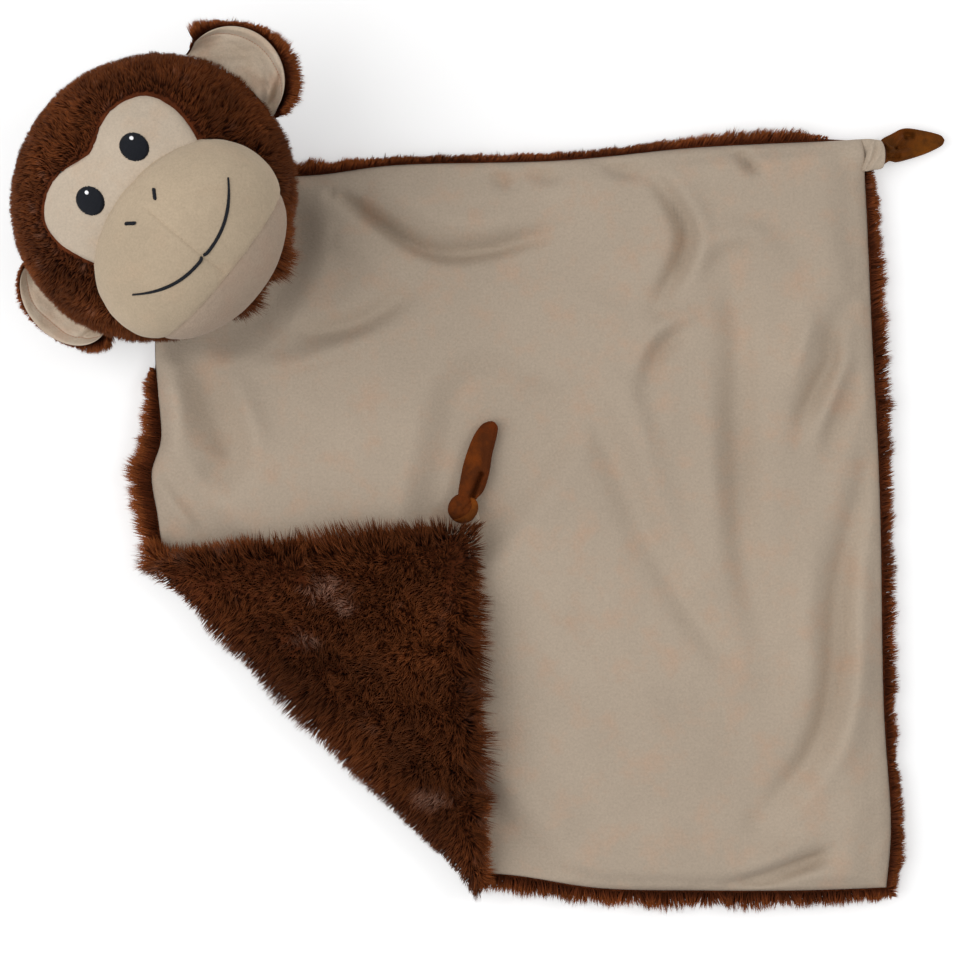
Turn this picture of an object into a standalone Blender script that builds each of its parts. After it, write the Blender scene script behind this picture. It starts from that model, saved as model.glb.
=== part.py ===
"""Comfort blanket lovey: a stuffed monkey's head on the corner of a two-sided blanket.

The blanket lies flat with its plush down and one corner folded over.
The head lies face up on another corner.
Metres, +Z up, origin under the middle of the blanket, on the surface that it lies on.
"""

import math

import bmesh
import bpy
from mathutils import Matrix, Vector

# Blanket
BLANKET_SIDE = 0.36
PLUSH_THICKNESS = 0.006
VELOUR_THICKNESS = 0.0015
CLOTH_GAP = 0.0004
EDGE_ROLL = 0.008
EDGE_RISE = 0.003
FOLD_RADIUS = 0.0045
FLAP_LIFT = 0.003
FLAP_SLACK = 0.0013
FLAP_RISE_REACH = 0.032
FOLD_HEIGHT = 0.0045
FOLD_WIDTH = 0.011
CALM_REACH = 0.02

# Corner tabs
CUFF_LENGTH = 0.0115
CUFF_WIDTH = 0.016
CUFF_HEIGHT = 0.006
KNOT_LENGTH = 0.0085
KNOT_WIDTH = 0.0112
KNOT_HEIGHT = 0.0085
KNOT_WRAP = 0.0022
TAIL_LENGTH = 0.0245
TAIL_WIDTH = 0.0170
TAIL_THICKNESS = 0.0052
TOP_TAB_TURN = math.radians(10)
FLAP_CUFF_HEIGHT = 0.0030
FLAP_KNOT_LENGTH = 0.0115
FLAP_KNOT_WIDTH = 0.0145
FLAP_KNOT_HEIGHT = 0.0100
FLAP_KNOT_SETOFF = 0.0141
FLAP_TAIL_LENGTH = 0.0375
FLAP_TAIL_WIDTH = 0.0152
FLAP_TAB_TURN = math.radians(73)
WRAP_SLANT = math.radians(24)
TOP_TAB_SWING = math.radians(28)

# Head
HEAD_WIDTH = 0.138
HEAD_HEIGHT = 0.132
HEAD_DEPTH = 0.116
HEAD_PLUSH = 0.005
HEAD_SEAM_SETBACK = 0.004
FACE_PILE_RELIEF = 0.0034
HEAD_ROLL = math.radians(50.3)
HEAD_YAW = math.radians(-3.5)
MUZZLE_WIDTH = 0.100
MUZZLE_HEIGHT = 0.080
MUZZLE_DEPTH = 0.068
MUZZLE_DROP = 0.032
MUZZLE_REACH = 0.040
MUZZLE_SIDE = -0.0012
CHIN_SEAM_DROP = 0.0398
CHIN_SEAM_SLOPE = 0.3
NECK_DROP = 0.042
NECK_WIDTH = 0.044
NECK_RADIUS = 0.005
NECK_TOP_DEPTH = 0.015

# Embroidery
EYE_WIDTH = 0.0122
EYE_HEIGHT = 0.0142
EYE_SPREAD = 0.0158
EYE_LEVEL = 0.0130
HIGHLIGHT_SIZE = 0.0024
HIGHLIGHT_SIDE = 0.0021
HIGHLIGHT_LIFT = 0.0033
STITCH_RAISE = 0.0009
MOUTH_REACH = 0.0340
MOUTH_DROP = 0.0455
MOUTH_CURL = 0.0150
MOUTH_STITCH = 0.0020
NOSTRIL_SPREAD = 0.0084
NOSTRIL_DROP = 0.0101
NOSTRIL_SIDE = -0.0024
NOSTRIL_LENGTH = 0.0056
NOSTRIL_SLANT = math.radians(50)
NOSTRIL_STITCH = 0.0019

# Ears
EAR_REACH = 0.025
EAR_HEIGHT = 0.052
EAR_LIFT = 0.004
EAR_PLUSH = 0.0042
EAR_CUP = 0.007
EAR_PLEAT = 0.0022
EAR_RIM = 0.0026
RIGHT_EAR_TURN = math.radians(8)
LEFT_EAR_TURN = math.radians(-34)
RIGHT_EAR_SETBACK = math.radians(0)
LEFT_EAR_SETBACK = math.radians(30)

CLEARANCE = 0.0004

# Places on the flat blanket, as shares of its side, from its middle.
TOP_EDGE_SHARES = [
    (-0.495, 0.479), (-0.312, 0.474), (-0.176, 0.489), (0.042, 0.495), (0.233, 0.513), (0.452, 0.523),
]
RIGHT_EDGE_SHARES = [
    (0.452, 0.523), (0.459, 0.441), (0.467, 0.264), (0.478, 0.033),
    (0.483, -0.240), (0.493, -0.403), (0.487, -0.495),
]
BOTTOM_EDGE_SHARES = [
    (-0.534, -0.468), (-0.430, -0.467), (-0.338, -0.466), (-0.230, -0.472), (-0.135, -0.474),
    (-0.026, -0.471), (0.097, -0.487), (0.233, -0.495), (0.369, -0.498), (0.487, -0.495),
]
LEFT_EDGE_SHARES = [
    (-0.534, -0.468), (-0.528, -0.411), (-0.524, -0.347), (-0.515, -0.275), (-0.507, -0.168),
    (-0.497, -0.070), (-0.505, 0.005), (-0.514, 0.067), (-0.501, 0.118), (-0.506, 0.189),
    (-0.509, 0.250), (-0.502, 0.373), (-0.495, 0.479),
]
ROLL_SHARES = (0.40, 0.68, 1.0)
RIM_TOP_SHARE = 0.3
RIM_FOOT_SHARE = 0.7
FOLD_LINE_SHARES = [(-0.4505, -0.0789), (-0.0694, -0.4566)]
HEAD_PLACE_SHARE = (-0.4970, 0.4296)
TOP_TAB_SHARE = (0.4525, 0.5030)

# The front sheet's folds: a ridge or a valley along each line, with its rise as a share of FOLD_HEIGHT.
FOLD_SHARES = [
    (-1.0, [(-0.285, 0.425), (-0.215, 0.392), (-0.145, 0.360), (-0.050, 0.352), (0.045, 0.382)]),
    (0.9, [(-0.300, 0.455), (-0.215, 0.430), (-0.145, 0.400), (-0.060, 0.392), (0.020, 0.410)]),
    (-0.5, [(-0.250, 0.270), (-0.190, 0.320), (-0.145, 0.345)]),
    (-0.6, [(0.165, 0.470), (0.203, 0.412), (0.203, 0.372), (0.172, 0.325), (0.165, 0.290)]),
    (-0.6, [(0.218, 0.272), (0.172, 0.243), (0.158, 0.193)]),
    (0.6, [(0.205, 0.300), (0.150, 0.265), (0.130, 0.200)]),
    (-0.9, [(0.078, 0.178), (0.112, 0.097), (0.140, 0.023), (0.165, -0.026), (0.187, -0.048)]),
    (0.8, [(0.105, 0.190), (0.140, 0.105), (0.168, 0.030), (0.192, -0.015)]),
    (-0.9, [(0.257, 0.339), (0.271, 0.276), (0.262, 0.169), (0.257, 0.072),
            (0.245, 0.012), (0.274, -0.055), (0.301, -0.117), (0.308, -0.193)]),
    (0.8, [(0.285, 0.320), (0.300, 0.240), (0.292, 0.150), (0.286, 0.060),
           (0.280, 0.000), (0.306, -0.060), (0.330, -0.130)]),
    (-0.6, [(0.408, 0.276), (0.388, 0.208), (0.369, 0.129)]),
    (-0.5, [(0.447, 0.197), (0.422, 0.140), (0.408, 0.072)]),
    (-0.8, [(0.429, 0.015), (0.413, -0.037), (0.406, -0.124), (0.408, -0.193),
            (0.391, -0.263), (0.359, -0.332), (0.315, -0.377), (0.308, -0.411)]),
    (0.7, [(0.455, -0.020), (0.440, -0.110), (0.438, -0.200), (0.420, -0.280), (0.385, -0.350)]),
    (-0.5, [(0.395, -0.446), (0.325, -0.467), (0.274, -0.488)]),
    (-0.9, [(-0.482, 0.234), (-0.461, 0.196), (-0.455, 0.155), (-0.485, 0.072)]),
    (0.7, [(-0.450, 0.240), (-0.425, 0.190), (-0.420, 0.130), (-0.440, 0.060)]),
    (-0.7, [(-0.466, 0.030), (-0.449, -0.012)]),
    (0.4, [(-0.160, 0.060), (-0.020, 0.090), (0.060, 0.020)]),
]
SAG_SHARE = 0.45
FOLD_END_SHARE = 0.08
HELD_EDGE_SHARE = 0.143

# The folded corner's ripples: the share of FLAP_LIFT, then the turns along the crease and out from it.
FLAP_WAVE_SHARES = [(0.5, 19.0, 3.0), (0.4, -8.0, 25.0)]

# Stations of a tab's tail and of a cuff, as shares of their length, width and thickness.
TAIL_SHARES = [
    (0.0, 0.61, 1.15), (0.12, 0.85, 1.11), (0.25, 0.98, 1.06), (0.38, 0.99, 1.02), (0.50, 0.90, 0.98),
    (0.62, 0.69, 0.93), (0.75, 0.37, 0.89), (0.87, 0.18, 0.84), (1.0, 0.05, 0.28),
]
CUFF_SHARES = [
    (0.0, 0.90, 0.98), (0.35, 1.0, 1.0), (0.7, 0.86, 0.97), (0.92, 0.60, 0.90), (1.0, 0.42, 0.84),
]
TAIL_START_SHARE = 0.35
TAIL_DROOP_SHARE = 0.5
WRAP_SHARE = 0.47

# Outline of the eye mask's right half on the head, as shares of the head's half width and half height.
MASK_SHARES = [
    (0.0, 0.430), (0.09, 0.452), (0.20, 0.500), (0.32, 0.515), (0.46, 0.470),
    (0.56, 0.375), (0.60, 0.210), (0.585, 0.07), (0.54, -0.10),
]
MASK_FOOT_SHARE = -0.45
NECK_GATHER_SHARE = 0.86
NECK_END_SHARE = 0.75
NECK_TOP_SHARES = (0.9, -0.2)
STITCH_END_SHARE = 0.72
HIGHLIGHT_TALL_SHARE = 1.2
NOSTRIL_SHARES = (-1.0, -0.4, 0.4, 1.0)
MOUTH_GAP_SHARE = 0.2
MOUTH_PEAK_SHARE = 0.6
MOUTH_BEND = 2.5
EAR_ROOT_SHARE = 0.3
EAR_END_SHARE = 0.97

# Colour and roughness of each finish
FINISHES = {
    "brown plush": ((0.075, 0.024, 0.009), 0.85),
    "cream velour": ((0.60, 0.46, 0.33), 0.8),
    "chestnut velour": ((0.16, 0.045, 0.010), 0.7),
    "polyester fibre": ((0.85, 0.85, 0.83), 0.95),
    "black embroidery": ((0.012, 0.014, 0.020), 0.45),
    "white embroidery": ((0.85, 0.85, 0.85), 0.5),
}

# Counts of cells, rings, sides and steps
FRONT_CELLS = 19
BACK_CELLS = 13
FOLD_STEPS = 4
HEAD_RINGS = 12
HEAD_SPOKES = 24
MUZZLE_RINGS = 10
MUZZLE_SPOKES = 24
EYE_STEPS = 20
OUTLINE_STEPS = 2
STITCH_SIDES = 6
MOUTH_STEPS = 11
EAR_RINGS = 4
EAR_SPOKES = 10
NECK_GATHERS = 5
NECK_STEPS = 6
KNOT_RINGS = 7
WRAP_STEPS = 16
WRAP_SIDES = 6
TAB_SIDES = 10


def clear_scene():
    for obj in list(bpy.data.objects):
        bpy.data.objects.remove(obj, do_unlink=True)


def material(name, finish):
    """The named object's own material, of one of the finishes."""
    colour, roughness = FINISHES[finish]
    found = bpy.data.materials.new(f"{name} {finish}")
    found.use_nodes = True
    shader = found.node_tree.nodes["Principled BSDF"]
    shader.inputs["Base Color"].default_value = (*colour, 1.0)
    shader.inputs["Roughness"].default_value = roughness
    shader.inputs["Metallic"].default_value = 0.0
    return found


def object_from(bm, name, finish, parent=None, helper=False):
    """A mesh object made of the bmesh, with its normals out."""
    bmesh.ops.recalc_face_normals(bm, faces=bm.faces)
    mesh = bpy.data.meshes.new(name)
    bm.to_mesh(mesh)
    bm.free()
    mesh.shade_smooth()
    obj = bpy.data.objects.new(name, mesh)
    if finish:
        mesh.materials.append(material(name, finish))
    bpy.context.scene.collection.objects.link(obj)
    obj.parent = parent
    if helper:
        obj.hide_render = True
        obj.display_type = "WIRE"
    return obj


def empty(name, place, turn=None, parent=None):
    obj = bpy.data.objects.new(name, None)
    bpy.context.scene.collection.objects.link(obj)
    obj.parent = parent
    obj.matrix_basis = Matrix.Translation(place) @ (turn or Matrix()).to_4x4()
    return obj


def boolean(obj, cutter, operation="DIFFERENCE"):
    modifier = obj.modifiers.new(f"{operation.lower()} {cutter.name}", "BOOLEAN")
    modifier.operation = operation
    modifier.object = cutter
    modifier.solver = "EXACT"
    return modifier


def smooth(share):
    share = min(1.0, max(0.0, share))
    return share * share * (3.0 - 2.0 * share)


def curve_point(points, share):
    """The point at a share of a Catmull-Rom curve through the points."""
    last = len(points) - 1
    place = min(max(share, 0.0), 1.0) * last
    index = min(int(place), last - 1)
    t = place - index
    before = points[max(index - 1, 0)]
    start, end = points[index], points[index + 1]
    after = points[min(index + 2, last)]
    return tuple(
        b + ((c - a) * t + (2 * a - 5 * b + 4 * c - d) * t**2 + (3 * b - a - 3 * c + d) * t**3) / 2
        for a, b, c, d in zip(before, start, end, after)
    )


def distance_to_line(x, y, points):
    """The distance from a place to a line of points, and the share of the line at the nearest place."""
    best, at = None, 0.0
    for index, ((ax, ay), (bx, by)) in enumerate(zip(points[:-1], points[1:])):
        run_x, run_y = bx - ax, by - ay
        t = ((x - ax) * run_x + (y - ay) * run_y) / (run_x**2 + run_y**2)
        t = min(1.0, max(0.0, t))
        apart = math.hypot(x - ax - t * run_x, y - ay - t * run_y)
        if best is None or apart < best:
            best, at = apart, (index + t) / (len(points) - 1)
    return best, at


# The flat blanket and the way it lies


def patch(across, up):
    """The flat place at shares across and up the blanket, inside its four edges."""
    bottom, top = curve_point(BOTTOM_EDGE_SHARES, across), curve_point(TOP_EDGE_SHARES, across)
    left, right = curve_point(LEFT_EDGE_SHARES, up), curve_point(RIGHT_EDGE_SHARES[::-1], up)
    corners = BOTTOM_EDGE_SHARES[0], BOTTOM_EDGE_SHARES[-1], TOP_EDGE_SHARES[0], TOP_EDGE_SHARES[-1]
    return tuple(
        BLANKET_SIDE
        * (
            (1 - up) * b + up * t + (1 - across) * l + across * r
            - (1 - across) * ((1 - up) * c00 + up * c01)
            - across * ((1 - up) * c10 + up * c11)
        )
        for b, t, l, r, c00, c10, c01, c11 in zip(bottom, top, left, right, *corners)
    )


def fold_frame():
    """A point of the folded corner's crease, the way along it and the way out to the corner."""
    (ax, ay), (bx, by) = FOLD_LINE_SHARES
    start = Vector((ax, ay, 0)) * BLANKET_SIDE
    along = Vector((bx - ax, by - ay, 0)).normalized()
    return start, along, Vector((along.y, -along.x, 0))


CREASE, CREASE_WAY, CORNER_WAY = fold_frame()
FOLD_LENGTH = math.pi * FOLD_RADIUS


def past_crease(x, y):
    return (Vector((x, y, 0)) - CREASE).dot(CORNER_WAY)


def head_place():
    x, y = HEAD_PLACE_SHARE
    return Vector((x * BLANKET_SIDE, y * BLANKET_SIDE, 0))


def turned(turn_z):
    return Matrix.Rotation(turn_z, 3, "Z")


CROWN_WAY = turned(HEAD_ROLL) @ Vector((0, 1, 0))
HINGE_WAY = turned(HEAD_ROLL) @ Vector((1, 0, 0))
HINGE_PLACE = head_place() - CROWN_WAY * NECK_DROP


def looseness(x, y, edge):
    """0 where the front sheet is held down, 1 where it is loose. edge is the share in from the edge."""
    held = smooth(edge / HELD_EDGE_SHARE)
    crease = smooth(-(past_crease(x, y) + CALM_REACH) / CALM_REACH)
    head_x, head_y, _ = head_place() - CROWN_WAY * NECK_DROP / 2
    head = smooth((math.hypot(x - head_x, y - head_y) - HEAD_WIDTH / 3) / CALM_REACH)
    tab = smooth((distance_to_line(x, y, flap_tab_line())[0] - FLAP_TAIL_WIDTH) / CALM_REACH)
    return held * crease * head * tab


def wrinkle(x, y, edge):
    """How far the front sheet stands off the back one."""
    rise = SAG_SHARE
    for height, points in FOLD_SHARES:
        line = [(px * BLANKET_SIDE, py * BLANKET_SIDE) for px, py in points]
        apart, at = distance_to_line(x, y, line)
        swell = math.sin(math.pi * min(1 - FOLD_END_SHARE, max(FOLD_END_SHARE, at)))
        rise += height * swell * math.exp(-((apart / FOLD_WIDTH) ** 2))
    return FOLD_HEIGHT * max(0.0, rise) * looseness(x, y, edge)


def laid(x, y, off):
    """Where a point off the sheets' common face comes to lie, with the corner folded over."""
    past = past_crease(x, y)
    base = Vector((x, y, 0)) - CORNER_WAY * past
    if past <= 0:
        flat, height, lean = past, 0.0, 0.0
    elif past < FOLD_LENGTH:
        lean = past / FOLD_RADIUS
        flat, height = FOLD_RADIUS * math.sin(lean), FOLD_RADIUS * (1 - math.cos(lean))
    else:
        lean = math.pi
        flat, height = FOLD_LENGTH - past, 2 * FOLD_RADIUS
        height += FLAP_LIFT * smooth((past - FOLD_LENGTH) / FLAP_RISE_REACH) * flap_wave(x, y)
    flat -= off * math.sin(lean)
    height += off * math.cos(lean)
    return base + CORNER_WAY * flat + Vector((0, 0, PLUSH_THICKNESS + height))


def flap_wave(x, y):
    along = (Vector((x, y, 0)) - CREASE).dot(CREASE_WAY) / BLANKET_SIDE
    out = past_crease(x, y) / BLANKET_SIDE
    return 1.0 + sum(share * math.sin(a * along + b * out) for share, a, b in FLAP_WAVE_SHARES)


def flap_corner():
    """The folded corner's place, seen from above."""
    x, y = (share * BLANKET_SIDE for share in BOTTOM_EDGE_SHARES[0])
    return laid(x, y, 0)


def flap_tab_place():
    """The middle of the folded corner's knot: off the corner, over the front sheet."""
    corner = flap_corner()
    return Vector((corner.x, corner.y + FLAP_KNOT_SETOFF, 0))


def flap_tab_line():
    start = flap_tab_place()
    end = start + turned(FLAP_TAB_TURN) @ Vector((FLAP_TAIL_LENGTH + FLAP_KNOT_LENGTH / 2, 0, 0))
    return [(start.x, start.y), (end.x, end.y)]


def ring_distance(step, cells, rings):
    """How far past the seam a step of the grid lies, under 0 before the first cell."""
    if step > cells:
        return rings[step - cells - 1]
    return -rings[-step - 1] if step < 0 else 0.0


def sheet(name, finish, cells, rings, shape):
    """A closed sheet over the flat blanket, each corner placed by shape(x, y, edge, roll, side).

    edge is the share in from the edge, roll the distance past the seam, and side 0 underneath and 1 on top.
    rings are the distances of the rounds of cells past the seam.
    """
    total = cells + 2 * len(rings)
    bm = bmesh.new()
    bmesh.ops.create_grid(bm, x_segments=total, y_segments=total, size=1.0)
    edge_layer = bm.verts.layers.float.new("edge")
    roll_layer = bm.verts.layers.float.new("roll")
    for vert in bm.verts:
        steps = [round((value + 1) / 2 * total) - len(rings) for value in (vert.co.x, vert.co.y)]
        shares = [min(1.0, max(0.0, step / cells)) for step in steps]
        outside = [ring_distance(step, cells, rings) for step in steps]
        x, y = patch(*shares)
        reach = max(abs(outside[0]), abs(outside[1]))
        length = math.hypot(*outside)
        if length:
            x += outside[0] * reach / length
            y += outside[1] * reach / length
        vert.co = (x, y, 0)
        vert[edge_layer] = min(shares[0], 1 - shares[0], shares[1], 1 - shares[1])
        vert[roll_layer] = reach
    for step in range(FOLD_STEPS + 1):
        crease = CREASE + CORNER_WAY * (FOLD_LENGTH * step / FOLD_STEPS)
        geometry = bm.verts[:] + bm.edges[:] + bm.faces[:]
        bmesh.ops.bisect_plane(bm, geom=geometry, dist=CLEARANCE, plane_co=crease, plane_no=CORNER_WAY)
    flat = {v: (v.co.x, v.co.y, v[edge_layer], v[roll_layer]) for v in bm.verts}
    top = list(bm.faces)
    rim = [edge for edge in bm.edges if edge.is_boundary]
    lower = {vert: bm.verts.new(vert.co) for vert in flat}
    for face in top:
        bm.faces.new([lower[vert] for vert in reversed(face.verts)])
    for edge in rim:
        a, b = edge.verts
        bm.faces.new((b, a, lower[a], lower[b]))
    for vert, (x, y, edge, roll) in flat.items():
        vert.co = shape(x, y, edge, roll, 1)
        lower[vert].co = shape(x, y, edge, roll, 0)
    bmesh.ops.triangulate(bm, faces=bm.faces)
    return object_from(bm, name, finish)


def back_sheet_shape(x, y, edge, roll, side):
    """Plush with its pile down: thick, and rolled up a little round the seam."""
    rim = roll > EDGE_ROLL * ROLL_SHARES[1]
    if not side:
        return laid(x, y, -PLUSH_THICKNESS * (RIM_FOOT_SHARE if rim else 1.0))
    if rim:
        return laid(x, y, -PLUSH_THICKNESS * RIM_TOP_SHARE)
    from_head = (Vector((x, y, 0)) - head_place()).length
    rolled = roll > EDGE_ROLL * ROLL_SHARES[0]
    return laid(x, y, EDGE_RISE * smooth((from_head - CALM_REACH) / CALM_REACH) if rolled else 0.0)


def front_sheet_shape(x, y, edge, roll, side):
    lift = wrinkle(x, y, edge) + FLAP_SLACK * smooth(past_crease(x, y) / FOLD_LENGTH)
    return laid(x, y, CLOTH_GAP + lift + (VELOUR_THICKNESS if side else 0.0))


def make_blanket():
    rings = [EDGE_ROLL * share for share in ROLL_SHARES]
    sheet("blanket_back_plush", "brown plush", BACK_CELLS, rings, back_sheet_shape)
    sheet("blanket_front_velour", "cream velour", FRONT_CELLS, [], front_sheet_shape)


# Corner cuffs and knotted tabs


def loft(bm, rings):
    """A closed skin over rings of equal length, with a fan at each end."""
    loops = [[bm.verts.new(point) for point in ring] for ring in rings]
    count = len(loops[0])
    for first, second in zip(loops[:-1], loops[1:]):
        for i in range(count):
            bm.faces.new((first[i], first[(i + 1) % count], second[(i + 1) % count], second[i]))
    for loop, order in ((loops[0], -1), (loops[-1], 1)):
        middle = bm.verts.new(sum((vert.co for vert in loop), Vector()) / count)
        for i in range(count):
            pair = (loop[i], loop[(i + 1) % count])[::order]
            bm.faces.new((*pair, middle))


def oval(centre, side, up, half_width, half_height, sides):
    angles = [math.tau * i / sides for i in range(sides)]
    return [centre + side * half_width * math.cos(a) + up * half_height * math.sin(a) for a in angles]


def oval_loft(name, finish, stations, parent=None, helper=False, start=Vector(), way=Vector((1, 0, 0))):
    """A loft along way. Each station is (distance, half width, half height, rise)."""
    up = Vector((0, 0, 1))
    side = up.cross(way)
    bm = bmesh.new()
    loft(bm, [
        oval(start + way * far + up * rise, side, up, half_width, half_height, TAB_SIDES)
        for far, half_width, half_height, rise in stations
    ])
    return object_from(bm, name, finish, parent, helper)


def tail_stations(start, length, width, drop):
    """Neck, swelling leaf and point of a tab's tail, which sinks by drop to what it lies on."""
    stations = []
    for far_share, wide_share, thick_share in TAIL_SHARES:
        far = length * far_share
        sunk = drop * smooth(far_share / TAIL_DROOP_SHARE)
        stations.append((start + far, width / 2 * wide_share, TAIL_THICKNESS / 2 * thick_share, -sunk))
    return stations


def knot_stations(length, width, height):
    stations = []
    for i in range(KNOT_RINGS):
        angle = math.pi * (i + 0.5) / KNOT_RINGS
        size = math.sin(angle)
        stations.append((-length / 2 * math.cos(angle), width / 2 * size, height / 2 * size, 0.0))
    return stations


def wrap_loops(bm, width, height):
    """Rings of corners round the band that the knot is tied with, which slants across it."""
    slant = Matrix.Rotation(WRAP_SLANT, 4, "Z") @ Matrix.Rotation(math.pi / 2, 4, "Y")
    loops = []
    for i in range(WRAP_STEPS):
        angle = math.tau * i / WRAP_STEPS
        middle = Vector((math.cos(angle) * height, math.sin(angle) * width, 0)) * WRAP_SHARE
        out = Vector((math.cos(angle), math.sin(angle), 0))
        ring = oval(middle, out, Vector((0, 0, 1)), KNOT_WRAP / 2, KNOT_WRAP / 2, WRAP_SIDES)
        loops.append([bm.verts.new(slant @ point) for point in ring])
    return loops


def make_tab(name, pivot, turn, knot, tail, floor):
    """A velour tab with its knot at the pivot and its tail lying away from it, down to the height floor.

    knot is its length, width and height, and tail its length and width.
    """
    hub = empty(f"{name}_pivot", pivot, turned(turn))
    drop = pivot.z - floor - TAIL_THICKNESS / 2 * TAIL_SHARES[0][2]
    stations = tail_stations(knot[0] * TAIL_START_SHARE, *tail, drop)
    tab = oval_loft(name, "chestnut velour", stations, hub)
    boolean(tab, oval_loft(f"{name}_knot", None, knot_stations(*knot), hub, helper=True), "UNION")
    bm = bmesh.new()
    loops = wrap_loops(bm, knot[1], knot[2])
    for first, second in zip(loops, loops[1:] + loops[:1]):
        for k in range(WRAP_SIDES):
            after = (k + 1) % WRAP_SIDES
            bm.faces.new((first[k], second[k], second[after], first[after]))
    boolean(tab, object_from(bm, f"{name}_wrap", None, hub, helper=True), "UNION")


def make_cuff(name, start, way, length, height):
    """The blanket's corner drawn together into the knot."""
    stations = [
        (length * far, CUFF_WIDTH / 2 * wide, height / 2 * thick, 0.0) for far, wide, thick in CUFF_SHARES
    ]
    oval_loft(name, "cream velour", stations, start=start, way=way)


def make_top_tab():
    x, y = (share * BLANKET_SIDE for share in TOP_TAB_SHARE)
    way = Vector((1, 0, 0))
    start = Vector((x, y, PLUSH_THICKNESS + EDGE_RISE + CUFF_HEIGHT / 2 + CLEARANCE))
    make_cuff("top_corner_cuff", start, way, CUFF_LENGTH, CUFF_HEIGHT)
    furthest = TOP_TAB_TURN + TOP_TAB_SWING
    reach = math.hypot(KNOT_LENGTH / 2 * math.cos(furthest), KNOT_WIDTH / 2 * math.sin(furthest))
    pivot = start + way * (CUFF_LENGTH + reach + CLEARANCE)
    pivot.z -= KNOT_HEIGHT / 3
    knot = (KNOT_LENGTH, KNOT_WIDTH, KNOT_HEIGHT)
    make_tab("top_corner_tab", pivot, TOP_TAB_TURN, knot, (TAIL_LENGTH, TAIL_WIDTH), CLEARANCE)


def make_flap_tab():
    on_front = PLUSH_THICKNESS + CLOTH_GAP + VELOUR_THICKNESS + CLEARANCE
    corner, place = flap_corner(), flap_tab_place()
    start = Vector((corner.x, corner.y, on_front + CLEARANCE + FLAP_CUFF_HEIGHT / 2))
    length = FLAP_KNOT_SETOFF - (FLAP_KNOT_LENGTH + KNOT_WRAP) / 2 - CLEARANCE
    make_cuff("flap_corner_cuff", start, Vector((0, 1, 0)), length, FLAP_CUFF_HEIGHT)
    pivot = Vector((place.x, place.y, on_front + (FLAP_KNOT_HEIGHT + KNOT_WRAP) / 2))
    knot = (FLAP_KNOT_LENGTH, FLAP_KNOT_WIDTH, FLAP_KNOT_HEIGHT)
    make_tab("flap_corner_tab", pivot, FLAP_TAB_TURN, knot, (FLAP_TAIL_LENGTH, FLAP_TAIL_WIDTH), on_front)


# Head, in its own axes: X to the toy's left ear as it is seen, Y to the crown, Z out of the face


def ball(name, half, rings, spokes, centre=Vector(), finish=None, parent=None):
    """An ellipsoid, which is a piece if it has a finish and a cutter if it has none."""
    bm = bmesh.new()
    bmesh.ops.create_uvsphere(bm, u_segments=spokes, v_segments=rings, radius=1.0)
    bmesh.ops.scale(bm, vec=half, verts=bm.verts)
    bmesh.ops.translate(bm, vec=centre, verts=bm.verts)
    return object_from(bm, name, finish, parent, finish is None)


def head_ball(name, half, parent, finish=None):
    return ball(name, half, HEAD_RINGS, HEAD_SPOKES, Vector(), finish, parent)


def head_half(inset):
    return Vector((HEAD_WIDTH / 2 - inset, HEAD_HEIGHT / 2 - inset, HEAD_DEPTH / 2 - inset))


def muzzle_half(inset):
    return Vector((MUZZLE_WIDTH / 2 - inset, MUZZLE_HEIGHT / 2 - inset, MUZZLE_DEPTH / 2 - inset))


MUZZLE_CENTRE = Vector((MUZZLE_SIDE, -MUZZLE_DROP, MUZZLE_REACH))


def block(name, low, high, parent, turn=None):
    """A box used as a cutter."""
    bm = bmesh.new()
    bmesh.ops.create_cube(bm, size=1.0)
    bmesh.ops.scale(bm, vec=Vector(high) - Vector(low), verts=bm.verts)
    bmesh.ops.translate(bm, vec=(Vector(low) + Vector(high)) / 2, verts=bm.verts)
    if turn:
        bmesh.ops.transform(bm, matrix=turn, verts=bm.verts)
    return object_from(bm, name, None, parent, helper=True)


def prism(name, outline, low, high, parent):
    """An upright cutter through the face along an outline in the head's X and Y."""
    bm = bmesh.new()
    base = [bm.verts.new((x, y, low)) for x, y in outline]
    face = bm.faces.new(base)
    made = bmesh.ops.extrude_face_region(bm, geom=[face])
    lifted = [item for item in made["geom"] if isinstance(item, bmesh.types.BMVert)]
    bmesh.ops.translate(bm, vec=(0, 0, high - low), verts=lifted)
    return object_from(bm, name, None, parent, helper=True)


def mask_outline(grow):
    """The eye mask's edge: two lobes with a dip between them, and straight down behind the muzzle."""
    steps = OUTLINE_STEPS * (len(MASK_SHARES) - 1)
    right = [curve_point(MASK_SHARES, i / steps) for i in range(steps + 1)]
    right = [(x * HEAD_WIDTH / 2, y * HEAD_HEIGHT / 2) for x, y in right]
    foot = MASK_FOOT_SHARE * HEAD_HEIGHT / 2
    right.append((right[-1][0] - EYE_WIDTH, foot))
    points = right + [(-x, y) for x, y in reversed(right[1:])]
    middle = Vector((0, HEAD_HEIGHT / 12))
    grown = []
    for x, y in points:
        out = Vector((x, y)) - middle
        grown.append(tuple(Vector((x, y)) + out.normalized() * grow))
    return grown


def on_surface(half, centre, x, y):
    """The front of an ellipsoid over a place of the face, and its outward way there."""
    px, py = (x - centre.x) / half.x, (y - centre.y) / half.y
    z = math.sqrt(max(0.0, 1.0 - px * px - py * py))
    way = Vector((px / half.x, py / half.y, z / half.z)).normalized()
    return Vector((x, y, centre.z + half.z * z)), way


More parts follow.
